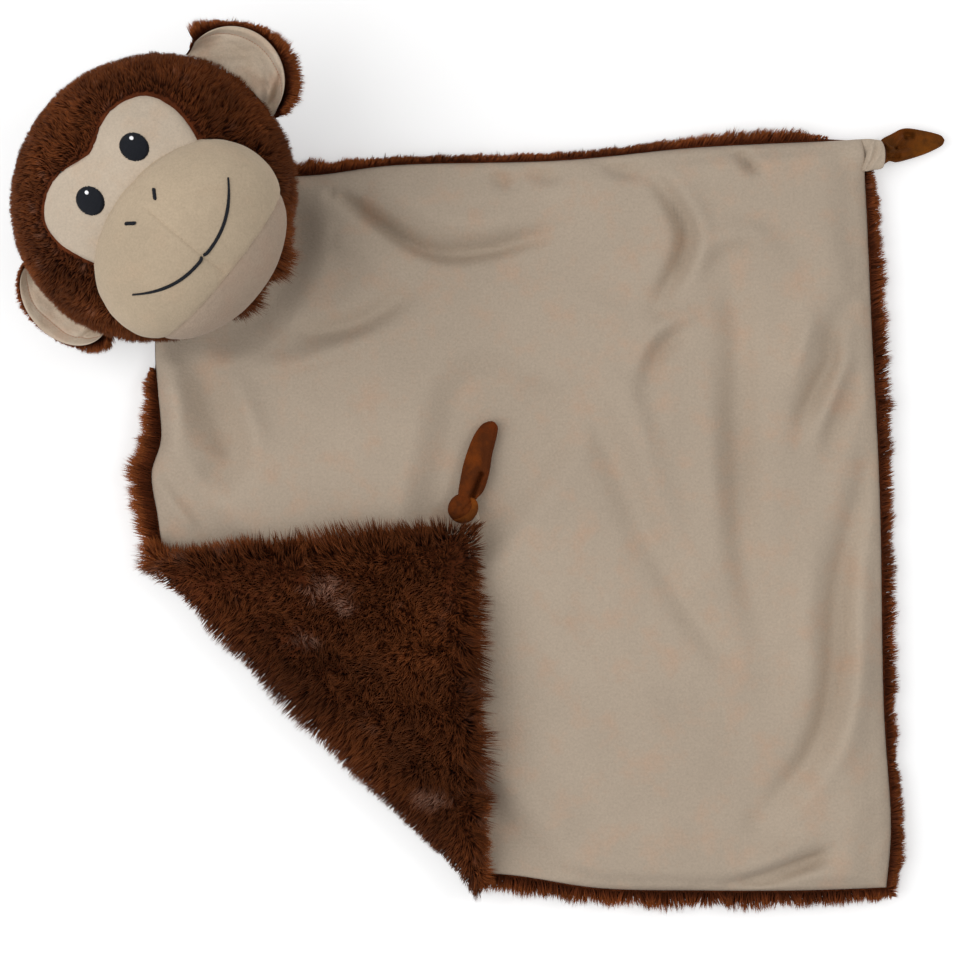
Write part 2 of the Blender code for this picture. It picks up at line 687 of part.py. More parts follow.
def stitch_run(name, points, half, centre, width, parent):
    """A raised run of satin stitch over points of the face."""
    bm = bmesh.new()
    rings = []
    for i, (x, y) in enumerate(points):
        surface, out = on_surface(half, centre, x, y)
        ax, ay = points[max(i - 1, 0)]
        bx, by = points[min(i + 1, len(points) - 1)]
        along = on_surface(half, centre, bx, by)[0] - on_surface(half, centre, ax, ay)[0]
        side = along.cross(out).normalized()
        end = STITCH_END_SHARE if i in (0, len(points) - 1) else 1.0
        middle = surface + out * (CLEARANCE + STITCH_RAISE / 2)
        rings.append(oval(middle, side, out, width / 2 * end, STITCH_RAISE / 2 * end, STITCH_SIDES))
    loft(bm, rings)
    object_from(bm, name, "black embroidery", parent)


def make_eye(name, sign, face, head):
    """A raised oval of stitches over the mask, with a small highlight."""
    x, y = sign * EYE_SPREAD, EYE_LEVEL
    rings, spokes = HEAD_RINGS * 2, HEAD_SPOKES * 2
    ones = Vector((1, 1, 1))
    outer = face + ones * (CLEARANCE + STITCH_RAISE)
    eye = ball(f"eye_{name}", outer, rings, spokes, finish="black embroidery", parent=head)
    angles = [math.tau * i / EYE_STEPS for i in range(EYE_STEPS)]
    rim = [(x + EYE_WIDTH / 2 * math.cos(a), y + EYE_HEIGHT / 2 * math.sin(a)) for a in angles]
    boolean(eye, prism(f"eye_{name}_rim", rim, 0, HEAD_DEPTH, head), "INTERSECT")
    boolean(eye, ball(f"eye_{name}_inside", face + ones * CLEARANCE, rings, spokes, parent=head))

    surface, out = on_surface(face, Vector(), x + HIGHLIGHT_SIDE, y + HIGHLIGHT_LIFT)
    bm = bmesh.new()
    bmesh.ops.create_uvsphere(bm, u_segments=TAB_SIDES, v_segments=STITCH_SIDES, radius=HIGHLIGHT_SIZE / 2)
    bmesh.ops.scale(bm, vec=(1, HIGHLIGHT_TALL_SHARE, STITCH_RAISE / HIGHLIGHT_SIZE), verts=bm.verts)
    turn = Vector((0, 0, 1)).rotation_difference(out).to_matrix().to_4x4()
    place = surface + out * (2 * CLEARANCE + STITCH_RAISE + STITCH_RAISE / 2)
    bmesh.ops.transform(bm, matrix=Matrix.Translation(place) @ turn, verts=bm.verts)
    object_from(bm, f"eye_highlight_{name}", "white embroidery", head)


def make_nostril(name, sign, muzzle, head):
    way = Vector((-sign * math.cos(NOSTRIL_SLANT), -math.sin(NOSTRIL_SLANT)))
    middle = Vector((NOSTRIL_SIDE + sign * NOSTRIL_SPREAD, -NOSTRIL_DROP))
    points = [tuple(middle + way * NOSTRIL_LENGTH / 2 * share) for share in NOSTRIL_SHARES]
    stitch_run(f"nostril_{name}", points, muzzle, MUZZLE_CENTRE, NOSTRIL_STITCH, head)


def make_mouth(name, sign, muzzle, head):
    """Half of the smile, from the small peak in the middle up to its corner."""
    points = []
    for i in range(MOUTH_STEPS + 1):
        share = i / MOUTH_STEPS
        x = CLEARANCE + MOUTH_STITCH * MOUTH_GAP_SHARE + (MOUTH_REACH - MOUTH_STITCH) * share
        peak = MOUTH_STITCH * MOUTH_PEAK_SHARE * math.exp(-((x / MOUTH_STITCH) ** 2))
        points.append((MUZZLE_SIDE + sign * x, -MOUTH_DROP + MOUTH_CURL * share**MOUTH_BEND + peak))
    stitch_run(f"mouth_{name}", points, muzzle, MUZZLE_CENTRE, MOUTH_STITCH, head)


def make_embroidery(head):
    face, muzzle = head_half(FACE_PILE_RELIEF), muzzle_half(0)
    for name, sign in (("right", 1), ("left", -1)):
        make_eye(name, sign, face, head)
        make_nostril(name, sign, muzzle, head)
        make_mouth(name, sign, muzzle, head)


def make_head_plush(head, plush_inside, muzzle_room):
    """The brown panels: one round the face and two behind, which meet at a seam down the back."""
    mask_room = prism("mask_room", mask_outline(CLEARANCE), 0, HEAD_DEPTH, head)
    wide, deep = HEAD_WIDTH, HEAD_DEPTH
    seam = -HEAD_SEAM_SETBACK
    gap = CLEARANCE / 2
    panels = {
        "head_front_plush": ((-wide, -wide, seam + gap), (wide, wide, deep)),
        "head_back_left_plush": ((-wide, -wide, -deep), (-gap, wide, seam - gap)),
        "head_back_right_plush": ((gap, -wide, -deep), (wide, wide, seam - gap)),
    }
    for name, (low, high) in panels.items():
        panel = head_ball(name, head_half(0), head, "brown plush")
        boolean(panel, block(f"{name}_side", low, high, head), "INTERSECT")
        boolean(panel, plush_inside)
        if name == "head_front_plush":
            boolean(panel, mask_room)
        boolean(panel, muzzle_room)


def make_mask(head, plush_inside, muzzle_room):
    mask = head_ball("face_mask", head_half(FACE_PILE_RELIEF), head, "cream velour")
    boolean(mask, prism("mask_edge", mask_outline(0), 0, HEAD_DEPTH, head), "INTERSECT")
    boolean(mask, plush_inside)
    boolean(mask, muzzle_room)


def muzzle_ball(name, inset, head, finish=None):
    return ball(name, muzzle_half(inset), MUZZLE_RINGS, MUZZLE_SPOKES, MUZZLE_CENTRE, finish, head)


def make_muzzle(head, head_room):
    """The stuffed muzzle: two cheeks that meet at a middle seam, over a chin panel."""
    filling = muzzle_ball("muzzle_filling", VELOUR_THICKNESS + CLEARANCE, head, "polyester fibre")
    boolean(filling, head_room)
    inside = muzzle_ball("muzzle_inside", VELOUR_THICKNESS, head)
    seam = Matrix.Translation((MUZZLE_SIDE, -CHIN_SEAM_DROP, 0))
    tilt = seam @ Matrix.Rotation(math.atan(CHIN_SEAM_SLOPE), 4, "X")
    wide, deep, gap = HEAD_WIDTH, HEAD_DEPTH, CLEARANCE / 2
    panels = {
        "muzzle_left": ((-wide, gap, -deep), (-gap, wide, deep * 2)),
        "muzzle_right": ((gap, gap, -deep), (wide, wide, deep * 2)),
        "muzzle_chin": ((-wide, -wide, -deep), (wide, -gap, deep * 2)),
    }
    for name, (low, high) in panels.items():
        panel = muzzle_ball(name, 0, head, "cream velour")
        boolean(panel, block(f"{name}_side", low, high, head, tilt), "INTERSECT")
        boolean(panel, inside)
        boolean(panel, head_room)


def hinge_height():
    return PLUSH_THICKNESS + CLOTH_GAP + VELOUR_THICKNESS + CLEARANCE + NECK_RADIUS


def make_neck(head, hinge):
    """The gathered stump between the head and the blanket, rounded about the hinge at its foot."""
    bm = bmesh.new()
    up = Vector((0, 0, 1))
    top = HEAD_DEPTH / 4
    stations = 2 * NECK_GATHERS
    rings = []
    for i in range(stations + 1):
        size = NECK_END_SHARE if i in (0, stations) else NECK_GATHER_SHARE if i % 2 else 1.0
        angles = [math.pi + math.pi * step / NECK_STEPS for step in range(NECK_STEPS + 1)]
        ring = [(CROWN_WAY * math.cos(a) + up * math.sin(a)) * NECK_RADIUS * size for a in angles]
        ring += [CROWN_WAY * NECK_TOP_DEPTH * share * size + up * top for share in NECK_TOP_SHARES]
        rings.append([point + HINGE_WAY * NECK_WIDTH * (i / stations - 1 / 2) for point in ring])
    loft(bm, rings)
    neck = object_from(bm, "neck", "brown plush", hinge)
    boolean(neck, head_ball("head_outside", head_half(-CLEARANCE), head))


def make_head():
    support = math.hypot(HEAD_DEPTH / 2 * math.cos(HEAD_YAW), HEAD_WIDTH / 2 * math.sin(HEAD_YAW))
    lift = PLUSH_THICKNESS + CLOTH_GAP + VELOUR_THICKNESS + CLEARANCE + support
    hinge = empty("head_hinge", HINGE_PLACE + Vector((0, 0, hinge_height())))
    centre = head_place() + Vector((0, 0, lift))
    turn = Matrix.Rotation(HEAD_ROLL, 3, "Z") @ Matrix.Rotation(HEAD_YAW, 3, "Y")
    head = empty("head", centre - hinge.location, turn, hinge)

    core = head_half(HEAD_PLUSH + CLEARANCE)
    head_ball("head_filling", core, head, "polyester fibre")
    plush_inside = head_ball("head_inside", head_half(HEAD_PLUSH), head)
    muzzle_room = muzzle_ball("muzzle_room", -CLEARANCE, head)
    make_head_plush(head, plush_inside, muzzle_room)
    make_mask(head, plush_inside, muzzle_room)
    make_muzzle(head, head_ball("head_room", core + Vector((1, 1, 1)) * CLEARANCE, head))
    make_neck(head, hinge)
    make_embroidery(head)
    make_ear("right", 1, RIGHT_EAR_TURN, RIGHT_EAR_SETBACK, head)
    make_ear("left", -1, LEFT_EAR_TURN, LEFT_EAR_SETBACK, head)


def ear_place(along, out, inset):
    """A place on the ear's middle face: along from -1 to 1 up the root, and out from 0 at the root to 1."""
    y = (EAR_HEIGHT / 2 - inset) * math.sin(along * math.pi / 2)
    root = HEAD_WIDTH / 2 * (math.sqrt(1 - ((y + EAR_LIFT) / (HEAD_HEIGHT / 2)) ** 2) - 1)
    reach = (EAR_REACH - inset) * math.cos(along * math.pi / 2)
    pleat = EAR_PLEAT * math.sin(math.pi * out) * math.cos(along * math.pi * 3 / 2) ** 2
    return root + (reach - root) * out, y + EAR_LIFT, EAR_CUP * out**2 - pleat


def ear_rows(bm, sign, off, inset):
    """Rows of corners over the ear's face, off it by off, and closer at the root where that is behind it."""
    rows = []
    for j in range(EAR_RINGS + 1):
        out = j / EAR_RINGS
        thin = EAR_ROOT_SHARE + (1 - EAR_ROOT_SHARE) * smooth(out * EAR_RINGS / 2) if off < 0 else 1.0
        row = []
        for i in range(EAR_SPOKES + 1):
            x, y, z = ear_place((2 * i / EAR_SPOKES - 1) * EAR_END_SHARE, out, inset)
            row.append(bm.verts.new((sign * x, y, z + off * thin)))
        rows.append(row)
    return rows


def ear_piece(name, sign, low, high, inset, parent, finish):
    """A cupped D of cloth between two offsets from the ear's middle face."""
    bm = bmesh.new()
    top, bottom = (ear_rows(bm, sign, off, inset) for off in (high, low))
    for rows, order in ((top, sign), (bottom, -sign)):
        for j in range(EAR_RINGS):
            for i in range(EAR_SPOKES):
                corners = (rows[j][i], rows[j + 1][i], rows[j + 1][i + 1], rows[j][i + 1])
                bm.faces.new(corners[::order])
    around = [(0, i) for i in range(EAR_SPOKES)] + [(j, EAR_SPOKES) for j in range(EAR_RINGS)]
    around += [(EAR_RINGS, i) for i in range(EAR_SPOKES, 0, -1)]
    around += [(j, 0) for j in range(EAR_RINGS, 0, -1)]
    for (j, i), (jj, ii) in zip(around, around[1:] + around[:1]):
        bm.faces.new((top[j][i], top[jj][ii], bottom[jj][ii], bottom[j][i]))
    bmesh.ops.triangulate(bm, faces=bm.faces)
    object_from(bm, name, finish, parent)


def make_ear(name, sign, turn, setback, head):
    """An ear with its root on the head's side, set back from the widest place by an angle."""
    stand_off = CLEARANCE + EAR_PLUSH * EAR_ROOT_SHARE * max(0.0, math.sin(-turn))
    side, back = math.cos(setback), math.sin(setback)
    place = Vector((sign * (HEAD_WIDTH / 2 * side + stand_off), 0, -HEAD_DEPTH / 2 * back))
    root = empty(f"ear_{name}_root", place, Matrix.Rotation(-sign * turn, 3, "Y"), head)
    ear_piece(f"ear_{name}_back", sign, -EAR_PLUSH, 0, 0, root, "brown plush")
    low, high = CLEARANCE, CLEARANCE + VELOUR_THICKNESS
    ear_piece(f"ear_{name}_front", sign, low, high, EAR_RIM, root, "cream velour")


def main():
    clear_scene()
    make_blanket()
    make_top_tab()
    make_flap_tab()
    make_head()


main()
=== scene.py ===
"""Comfort blanket lovey: the looks of a stuffed monkey's head on a two-sided blanket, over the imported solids.

Metres, +Z up, in the frame of the solids. Places on the flat blanket are shares of its side, from its middle.
"""

import math

import bpy
import numpy as np
from bpy.props import FloatProperty, FloatVectorProperty, IntProperty, PointerProperty
from mathutils import Matrix, Vector


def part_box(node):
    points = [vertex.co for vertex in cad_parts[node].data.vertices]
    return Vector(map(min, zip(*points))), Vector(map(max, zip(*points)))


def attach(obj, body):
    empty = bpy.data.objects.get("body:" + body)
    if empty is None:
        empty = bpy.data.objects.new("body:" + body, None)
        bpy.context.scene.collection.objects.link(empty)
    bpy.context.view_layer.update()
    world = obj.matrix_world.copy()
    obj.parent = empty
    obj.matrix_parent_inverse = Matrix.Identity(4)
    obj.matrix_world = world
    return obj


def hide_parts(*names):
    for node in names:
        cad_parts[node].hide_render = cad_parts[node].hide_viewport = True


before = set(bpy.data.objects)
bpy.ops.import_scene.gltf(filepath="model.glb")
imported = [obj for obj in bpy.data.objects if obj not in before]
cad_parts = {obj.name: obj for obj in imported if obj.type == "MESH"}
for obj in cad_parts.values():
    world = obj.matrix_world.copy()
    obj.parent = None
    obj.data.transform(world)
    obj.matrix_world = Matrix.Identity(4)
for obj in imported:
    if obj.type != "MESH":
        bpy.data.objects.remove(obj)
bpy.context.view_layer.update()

bl_info = {
    "name": "Comfort Blanket Lovey",
    "version": (1, 0, 0),
    "blender": (4, 5, 0),
    "location": "3D View > Sidebar > Lovey",
    "description": "Builds the plush, velour and stitching of the comfort blanket over its solids",
    "category": "Object",
}

# Blanket, as the solids have it
BLANKET_SIDE = 0.36
PLUSH_THICKNESS = 0.006
VELOUR_THICKNESS = 0.0015
CLOTH_GAP = 0.0004
FOLD_RADIUS = 0.0045
FOLD_LENGTH = math.pi * FOLD_RADIUS
FLAP_LIFT = 0.003
FLAP_SLACK = 0.0013
FLAP_RISE_REACH = 0.032
CALM_REACH = 0.02
LOOSE_EDGE_SHARE = 0.07
FOLD_EDGE_SHARE = 0.035

TOP_EDGE = [(-0.495, 0.479), (-0.312, 0.474), (-0.176, 0.489), (0.042, 0.495), (0.233, 0.513), (0.452, 0.523)]
RIGHT_EDGE = [
    (0.487, -0.495), (0.493, -0.403), (0.483, -0.240), (0.478, 0.033), (0.467, 0.264), (0.459, 0.441),
    (0.452, 0.523),
]
BOTTOM_EDGE = [
    (-0.534, -0.468), (-0.430, -0.467), (-0.338, -0.466), (-0.230, -0.472), (-0.135, -0.474),
    (-0.026, -0.478), (0.097, -0.496), (0.233, -0.499), (0.369, -0.499), (0.487, -0.495),
]
LEFT_EDGE = [
    (-0.534, -0.468), (-0.528, -0.411), (-0.524, -0.347), (-0.515, -0.275), (-0.507, -0.168),
    (-0.497, -0.070), (-0.505, 0.005), (-0.514, 0.067), (-0.501, 0.118), (-0.506, 0.189),
    (-0.509, 0.250), (-0.502, 0.373), (-0.495, 0.479),
]
FOLD_LINE = [(-0.4505, -0.0789), (-0.0694, -0.4566)]
FLAP_WAVES = [(0.5, 19.0, 3.0), (0.4, -8.0, 25.0)]

# The front sheet's ridges and valleys: rise and width in millimetres, and the line of each.
FOLDS = [
    (-5.0, 3.8, [(-0.268, 0.446), (-0.240, 0.433), (-0.205, 0.411), (-0.168, 0.387), (-0.130, 0.369),
                 (-0.090, 0.362)]),
    (-3.0, 5.0, [(-0.150, 0.378), (-0.110, 0.370), (-0.060, 0.372), (-0.010, 0.384), (0.045, 0.398)]),
    (2.6, 10.0, [(-0.225, 0.470), (-0.170, 0.436), (-0.110, 0.410), (-0.040, 0.410), (0.030, 0.430)]),
    (1.2, 9.0, [(-0.270, 0.390), (-0.215, 0.362), (-0.165, 0.345)]),
    (-2.6, 7.0, [(-0.330, 0.268), (-0.285, 0.262), (-0.235, 0.272), (-0.190, 0.297), (-0.150, 0.325)]),
    (1.8, 8.0, [(-0.390, 0.225), (-0.340, 0.215), (-0.290, 0.225), (-0.240, 0.245), (-0.190, 0.268)]),
    (-4.4, 5.5, [(0.150, 0.488), (0.177, 0.462), (0.199, 0.430), (0.213, 0.400), (0.211, 0.372),
                 (0.200, 0.345), (0.184, 0.318), (0.172, 0.292)]),
    (1.8, 7.0, [(0.170, 0.482), (0.205, 0.445), (0.228, 0.405), (0.228, 0.365), (0.214, 0.330)]),
    (-2.6, 6.0, [(0.222, 0.268), (0.198, 0.256), (0.178, 0.238), (0.166, 0.212), (0.160, 0.182)]),
    (1.9, 7.5, [(0.238, 0.288), (0.205, 0.278), (0.178, 0.262), (0.156, 0.236), (0.140, 0.196)]),
    (1.2, 9.0, [(0.030, 0.330), (0.075, 0.300), (0.120, 0.280), (0.160, 0.280)]),
    (-2.0, 11.0, [(0.040, 0.225), (0.072, 0.180), (0.096, 0.135), (0.118, 0.088), (0.140, 0.035),
                  (0.160, -0.018), (0.188, -0.062), (0.215, -0.110)]),
    (1.3, 10.0, [(0.070, 0.235), (0.105, 0.185), (0.130, 0.130), (0.155, 0.075), (0.178, 0.020),
                 (0.200, -0.030), (0.222, -0.080)]),
    (1.1, 7.0, [(0.118, 0.215), (0.140, 0.165), (0.158, 0.118), (0.172, 0.085)]),
    (-1.6, 8.0, [(0.168, -0.030), (0.195, -0.080), (0.225, -0.130), (0.262, -0.175), (0.290, -0.190)]),
    (-3.3, 10.0, [(0.262, 0.352), (0.275, 0.315), (0.2845, 0.270), (0.2845, 0.170), (0.286, 0.087),
                  (0.289, 0.005), (0.296, -0.063), (0.314, -0.131), (0.324, -0.212)]),
    (1.8, 8.0, [(0.222, 0.335), (0.232, 0.362), (0.260, 0.388), (0.300, 0.393), (0.341, 0.362),
                (0.369, 0.318)]),
    (1.3, 9.0, [(0.240, 0.200), (0.244, 0.120), (0.250, 0.040), (0.262, -0.040)]),
    (-4.2, 6.5, [(0.424, 0.292), (0.410, 0.252), (0.412, 0.222), (0.394, 0.185), (0.376, 0.150),
                 (0.366, 0.118)]),
    (2.6, 7.0, [(0.386, 0.300), (0.374, 0.262), (0.362, 0.222), (0.346, 0.180)]),
    (-3.0, 7.0, [(0.440, 0.218), (0.428, 0.170), (0.414, 0.125), (0.404, 0.085)]),
    (2.2, 6.5, [(0.424, 0.252), (0.420, 0.215), (0.406, 0.170), (0.388, 0.130)]),
    (-4.4, 7.5, [(0.462, 0.078), (0.448, 0.040), (0.435, -0.010), (0.425, -0.065), (0.420, -0.125),
                 (0.418, -0.180), (0.412, -0.232), (0.398, -0.282), (0.372, -0.330), (0.338, -0.368),
                 (0.310, -0.402)]),
    (2.4, 8.0, [(0.462, 0.010), (0.454, -0.050), (0.449, -0.110), (0.449, -0.170), (0.444, -0.235),
                (0.428, -0.290), (0.402, -0.340), (0.362, -0.388)]),
    (1.6, 9.0, [(0.392, 0.020), (0.380, -0.050), (0.374, -0.120), (0.374, -0.190), (0.360, -0.250)]),
    (-4.6, 4.5, [(0.280, -0.488), (0.314, -0.481), (0.355, -0.468), (0.389, -0.455), (0.412, -0.442)]),
    (1.6, 6.0, [(0.290, -0.465), (0.325, -0.452), (0.360, -0.438), (0.395, -0.415)]),
    (-3.6, 12.0, [(-0.470, 0.255), (-0.448, 0.215), (-0.432, 0.175), (-0.412, 0.128), (-0.404, 0.090),
                  (-0.430, 0.062), (-0.456, 0.048)]),
    (3.0, 8.0, [(-0.492, 0.240), (-0.484, 0.203), (-0.476, 0.155), (-0.476, 0.114), (-0.487, 0.076)]),
    (1.6, 8.0, [(-0.412, 0.215), (-0.388, 0.165), (-0.372, 0.120), (-0.376, 0.085)]),
    (-2.0, 4.5, [(-0.048, 0.483), (-0.038, 0.466), (-0.022, 0.460)]),
    (-1.8, 4.5, [(0.000, 0.482), (0.020, 0.472), (0.045, 0.470)]),
    (-3.2, 3.6, [(0.286, 0.512), (0.296, 0.490), (0.314, 0.474)]),
    (-2.2, 4.5, [(0.100, 0.492), (0.128, 0.478), (0.160, 0.474)]),
    (0.7, 12.0, [(-0.330, 0.180), (-0.280, 0.155), (-0.230, 0.160)]),
    (0.8, 14.0, [(-0.160, 0.060), (-0.020, 0.120), (0.060, 0.020)]),
    (0.8, 14.0, [(0.080, -0.160), (0.150, -0.240), (0.200, -0.330)]),
    (-0.7, 12.0, [(0.040, -0.080), (0.110, -0.180), (0.140, -0.280)]),
    (0.9, 12.0, [(0.360, 0.440), (0.400, 0.380), (0.420, 0.320)]),
    (-0.9, 10.0, [(0.330, 0.400), (0.352, 0.350), (0.400, 0.330)]),
]
FOLD_END_SHARE = 0.06
CORNER_RIDGE = [(-0.503, 0.060), (-0.478, 0.022), (-0.452, -0.012)]

# Head, in its own axes: X to the side of the raised ear, Y to the crown, Z out of the face
HEAD_WIDTH = 0.138
HEAD_HEIGHT = 0.132
HEAD_DEPTH = 0.116
HEAD_PLACE = (-0.4970, 0.4296)
HEAD_ROLL = math.radians(50.3)
HEAD_YAW = math.radians(-3.5)
HEAD_PLUSH = 0.005
HEAD_SEAM_SETBACK = 0.004
FACE_PILE_RELIEF = 0.0034
CLEARANCE = 0.0004
MUZZLE_SIDE = -0.0012
MUZZLE_HALF = np.array((0.050, 0.040, 0.034))
MUZZLE_CENTRE = np.array((MUZZLE_SIDE, -0.032, 0.040))
CHIN_SEAM_DROP = 0.0398
CHIN_SEAM_SLOPE = 0.3
NECK_DROP = 0.042
NECK_WIDTH = 0.044
NECK_RADIUS = 0.005
MASK_EDGE = [
    (0.0, 0.430), (0.09, 0.452), (0.20, 0.500), (0.32, 0.515), (0.46, 0.470),
    (0.56, 0.375), (0.60, 0.210), (0.585, 0.07), (0.54, -0.10),
]
MASK_FOOT_SHARE = -0.45
EYE_SIZE = (0.0122, 0.0142)
EYE_PLACE = (0.0158, 0.0130)
HIGHLIGHT_PLACE = (0.0021, 0.0033)
HIGHLIGHT_SIZE = 0.0015
STITCH_RAISE = 0.0009
MOUTH_REACH = 0.0340
MOUTH_DROP = 0.0455
MOUTH_CURL = 0.0150
MOUTH_BEND = 2.5
MOUTH_STITCH = 0.0014
NOSTRIL_PLACE = (0.0084, -0.0101)
NOSTRIL_SIDE = -0.0024
NOSTRIL_LENGTH = 0.0056
NOSTRIL_SLANT = math.radians(50)
NOSTRIL_STITCH = 0.0016
EAR_REACH = 0.025
EAR_HEIGHT = 0.052
EAR_LIFT = 0.004
EAR_PLUSH = 0.0042
EAR_CUP = 0.007
EAR_PLEAT = 0.0022
EAR_RIM = 0.0026
EAR_TURN = {"right": math.radians(8), "left": math.radians(-34)}
EAR_SETBACK = {"right": 0.0, "left": math.radians(30)}
EAR_ROOT_SHARE = 0.3
EAR_SPAN = 0.97
EAR_DEEPEST = 0.0030

# Each tab's joint on the blanket, the way its tail lies at rest, and how far it swings
TAB_HUBS = {"top": ((0.179607, 0.181080), math.radians(10)), "flap": ((-0.032331, 0.006969), math.radians(73))}
TAB_SWEEP = math.radians(20)

# The front sheet: how the folds' rise and width become metres, and its rim, corner ridge and lift at the cuff
FOLD_GAIN = 2.6e-3
FOLD_WIDTH = 0.85e-3
SOFT_FLOOR = 5e-4
SHEET_RIM = 0.0035
CORNER_RIDGE_RISE = 0.0034
CORNER_RIDGE_WIDTH = 0.0042
CUFF_CORNER = np.array(TOP_EDGE[-1]) * BLANKET_SIDE
CUFF_RISE = 0.0078
CUFF_RISE_PLACE = (0.0, -0.0070)
CUFF_RISE_REACH = (0.0120, 0.0085)
FRONT_FACE = PLUSH_THICKNESS + CLOTH_GAP + VELOUR_THICKNESS

# The back sheet's rolled edge and under face, and where the plush underneath and round the edge leaves off:
# as a share of the crease, round the upper corner's cuff, and at the left edge from this share up
RIM_SHARES = (0.22, 0.45, 0.66, 0.84, 0.95, 1.0)
RIM_MIDDLE = -0.0016
RIM_RISE = 0.0022
RIM_DROP = 0.0027
UNDER_FACE = 0.0043
FLAP_START = 0.12
CUFF_BARE = 0.022
LEFT_BARE = (0.035, 0.76)
FRINGE_TAPER = 0.045
PILE_FLOOR = 0.0004
PILE_MOST = 19000

# Head's ground under its plush, where the pile stops at the muzzle, and the stitches
GROUND_INSET = 0.0042
MUZZLE_MARGIN = 1.03
SEAM_LOOPS = (-0.0026, -0.0014, -0.0007, 0.0007, 0.0014, 0.0026)
STITCH_ARCH = 0.0006
THREAD_FLATNESS = 0.8

# The seam line round a tab's tail, and how much the floor shines to the camera
LEAF_SEAM_DIP = 0.0003
LEAF_SEAM_INSET = 0.0012
LEAF_SEAM_WIDTH = 0.0004
FLOOR_GLOW = 0.34


# Shapes shared by the pieces


def smooth(share):
    share = np.clip(share, 0.0, 1.0)
    return share * share * (3.0 - 2.0 * share)


def rounded(share, start, length, least=0.0):
    """1 up to a start, and from there down along a quarter of an ellipse of this length."""
    return np.where(share > start, np.sqrt(np.clip(1 - ((share - start) / length) ** 2, least, 1)), 1.0)


def bell(value, width):
    """1 where the value is 0, and next to nothing two widths away."""
    return np.exp(-((value / width) ** 2))


def along_curve(points, share):
    """Places at shares of a smooth curve through the points."""
    points = np.asarray(points, float)
    last = len(points) - 1
    place = np.clip(share, 0.0, 1.0) * last
    index = np.minimum(place.astype(int), last - 1)
    t = (place - index)[..., None]
    a, b = points[np.maximum(index - 1, 0)], points[index]
    c, d = points[index + 1], points[np.minimum(index + 2, last)]
    return b + ((c - a) * t + (2 * a - 5 * b + 4 * c - d) * t**2 + (3 * b - a - 3 * c + d) * t**3) / 2


def line_distance(places, points):
    """The distance from each place to a line of points, and the share of the line at the nearest place."""
    points = np.asarray(points, float)
    best, at = np.full(len(places), np.inf), np.zeros(len(places))
    for index in range(len(points) - 1):
        start, run = points[index], points[index + 1] - points[index]
        t = np.clip((places - start) @ run / (run @ run), 0.0, 1.0)
        apart = np.linalg.norm(places - start - t[:, None] * run, axis=1)
        near = apart < best
        best, at = np.where(near, apart, best), np.where(near, (index + t) / (len(points) - 1), at)
    return best, at


def ripple(places, scale, seed, octaves=3):
    """Smooth uneven values, about -1 to 1, over places of two or three numbers."""
    chance = np.random.default_rng(seed)
    total, weight = np.zeros(len(places)), 0.0
    for octave in range(octaves):
        for _ in range(6):
            way = chance.normal(size=places.shape[1])
            way *= math.tau / (scale * 0.5**octave * np.linalg.norm(way) * chance.uniform(0.8, 1.6))
            total += np.sin(places @ way + chance.uniform(0, math.tau)) * 0.6**octave
        weight += 6**0.5 * 0.6**octave
    return total / weight


def unit(vectors):
    return vectors / np.maximum(np.linalg.norm(vectors, axis=-1, keepdims=True), 1e-12)


def fold_frame():
    """A point of the folded corner's crease, the way along it and the way out to the corner."""
    start, end = (np.array(point) * BLANKET_SIDE for point in FOLD_LINE)
    along = unit(end - start)
    return start, along, np.array((along[1], -along[0]))


CREASE, CREASE_WAY, CORNER_WAY = fold_frame()


def flat_place(across, up):
    """The flat place at shares across and up the blanket, inside its four edges."""
    bottom, top = along_curve(BOTTOM_EDGE, across), along_curve(TOP_EDGE, across)
    left, right = along_curve(LEFT_EDGE, up), along_curve(RIGHT_EDGE, up)
    corners = [np.array(p) for p in (BOTTOM_EDGE[0], BOTTOM_EDGE[-1], TOP_EDGE[0], TOP_EDGE[-1])]
    a, u = across[:, None], up[:, None]
    low = (1 - a) * corners[0] + a * corners[1]
    high = (1 - a) * corners[2] + a * corners[3]
    return BLANKET_SIDE * ((1 - u) * bottom + u * top + (1 - a) * left + a * right - (1 - u) * low - u * high)


def past_crease(flat):
    return (flat - CREASE) @ CORNER_WAY


def laid(flat, off):
    """Where a point off the sheets' common face comes to lie, with the corner folded over."""
    past = past_crease(flat)
    lean = np.clip(past / FOLD_RADIUS, 0.0, math.pi)
    run = np.where(past < FOLD_LENGTH, FOLD_RADIUS * np.sin(lean), FOLD_LENGTH - past)
    run = np.where(past <= 0, past, run)
    along = (flat - CREASE) @ CREASE_WAY / BLANKET_SIDE
    wave = 1.0 + sum(s * np.sin(a * along + b * past / BLANKET_SIDE) for s, a, b in FLAP_WAVES)
    lift = FLAP_LIFT * smooth((past - FOLD_LENGTH) / FLAP_RISE_REACH) * wave
    height = FOLD_RADIUS * (1 - np.cos(lean)) + lift
    run = run - off * np.sin(lean)
    height = height + off * np.cos(lean)
    place = flat + CORNER_WAY * (run - past)[:, None]
    return np.column_stack([place, PLUSH_THICKNESS + height])


def head_matrix():
    """The head's place: face up, and leaning a little on its seam."""
    reach = math.hypot(HEAD_DEPTH / 2 * math.cos(HEAD_YAW), HEAD_WIDTH / 2 * math.sin(HEAD_YAW))
    lift = FRONT_FACE + CLEARANCE + reach
    place = Vector((HEAD_PLACE[0] * BLANKET_SIDE, HEAD_PLACE[1] * BLANKET_SIDE, lift))
    turn = Matrix.Rotation(HEAD_ROLL, 4, "Z") @ Matrix.Rotation(HEAD_YAW, 4, "Y")
    return Matrix.Translation(place) @ turn


HEAD = head_matrix()
CROWN_WAY = np.array((-math.sin(HEAD_ROLL), math.cos(HEAD_ROLL)))
HEAD_FLAT = np.array(HEAD_PLACE) * BLANKET_SIDE


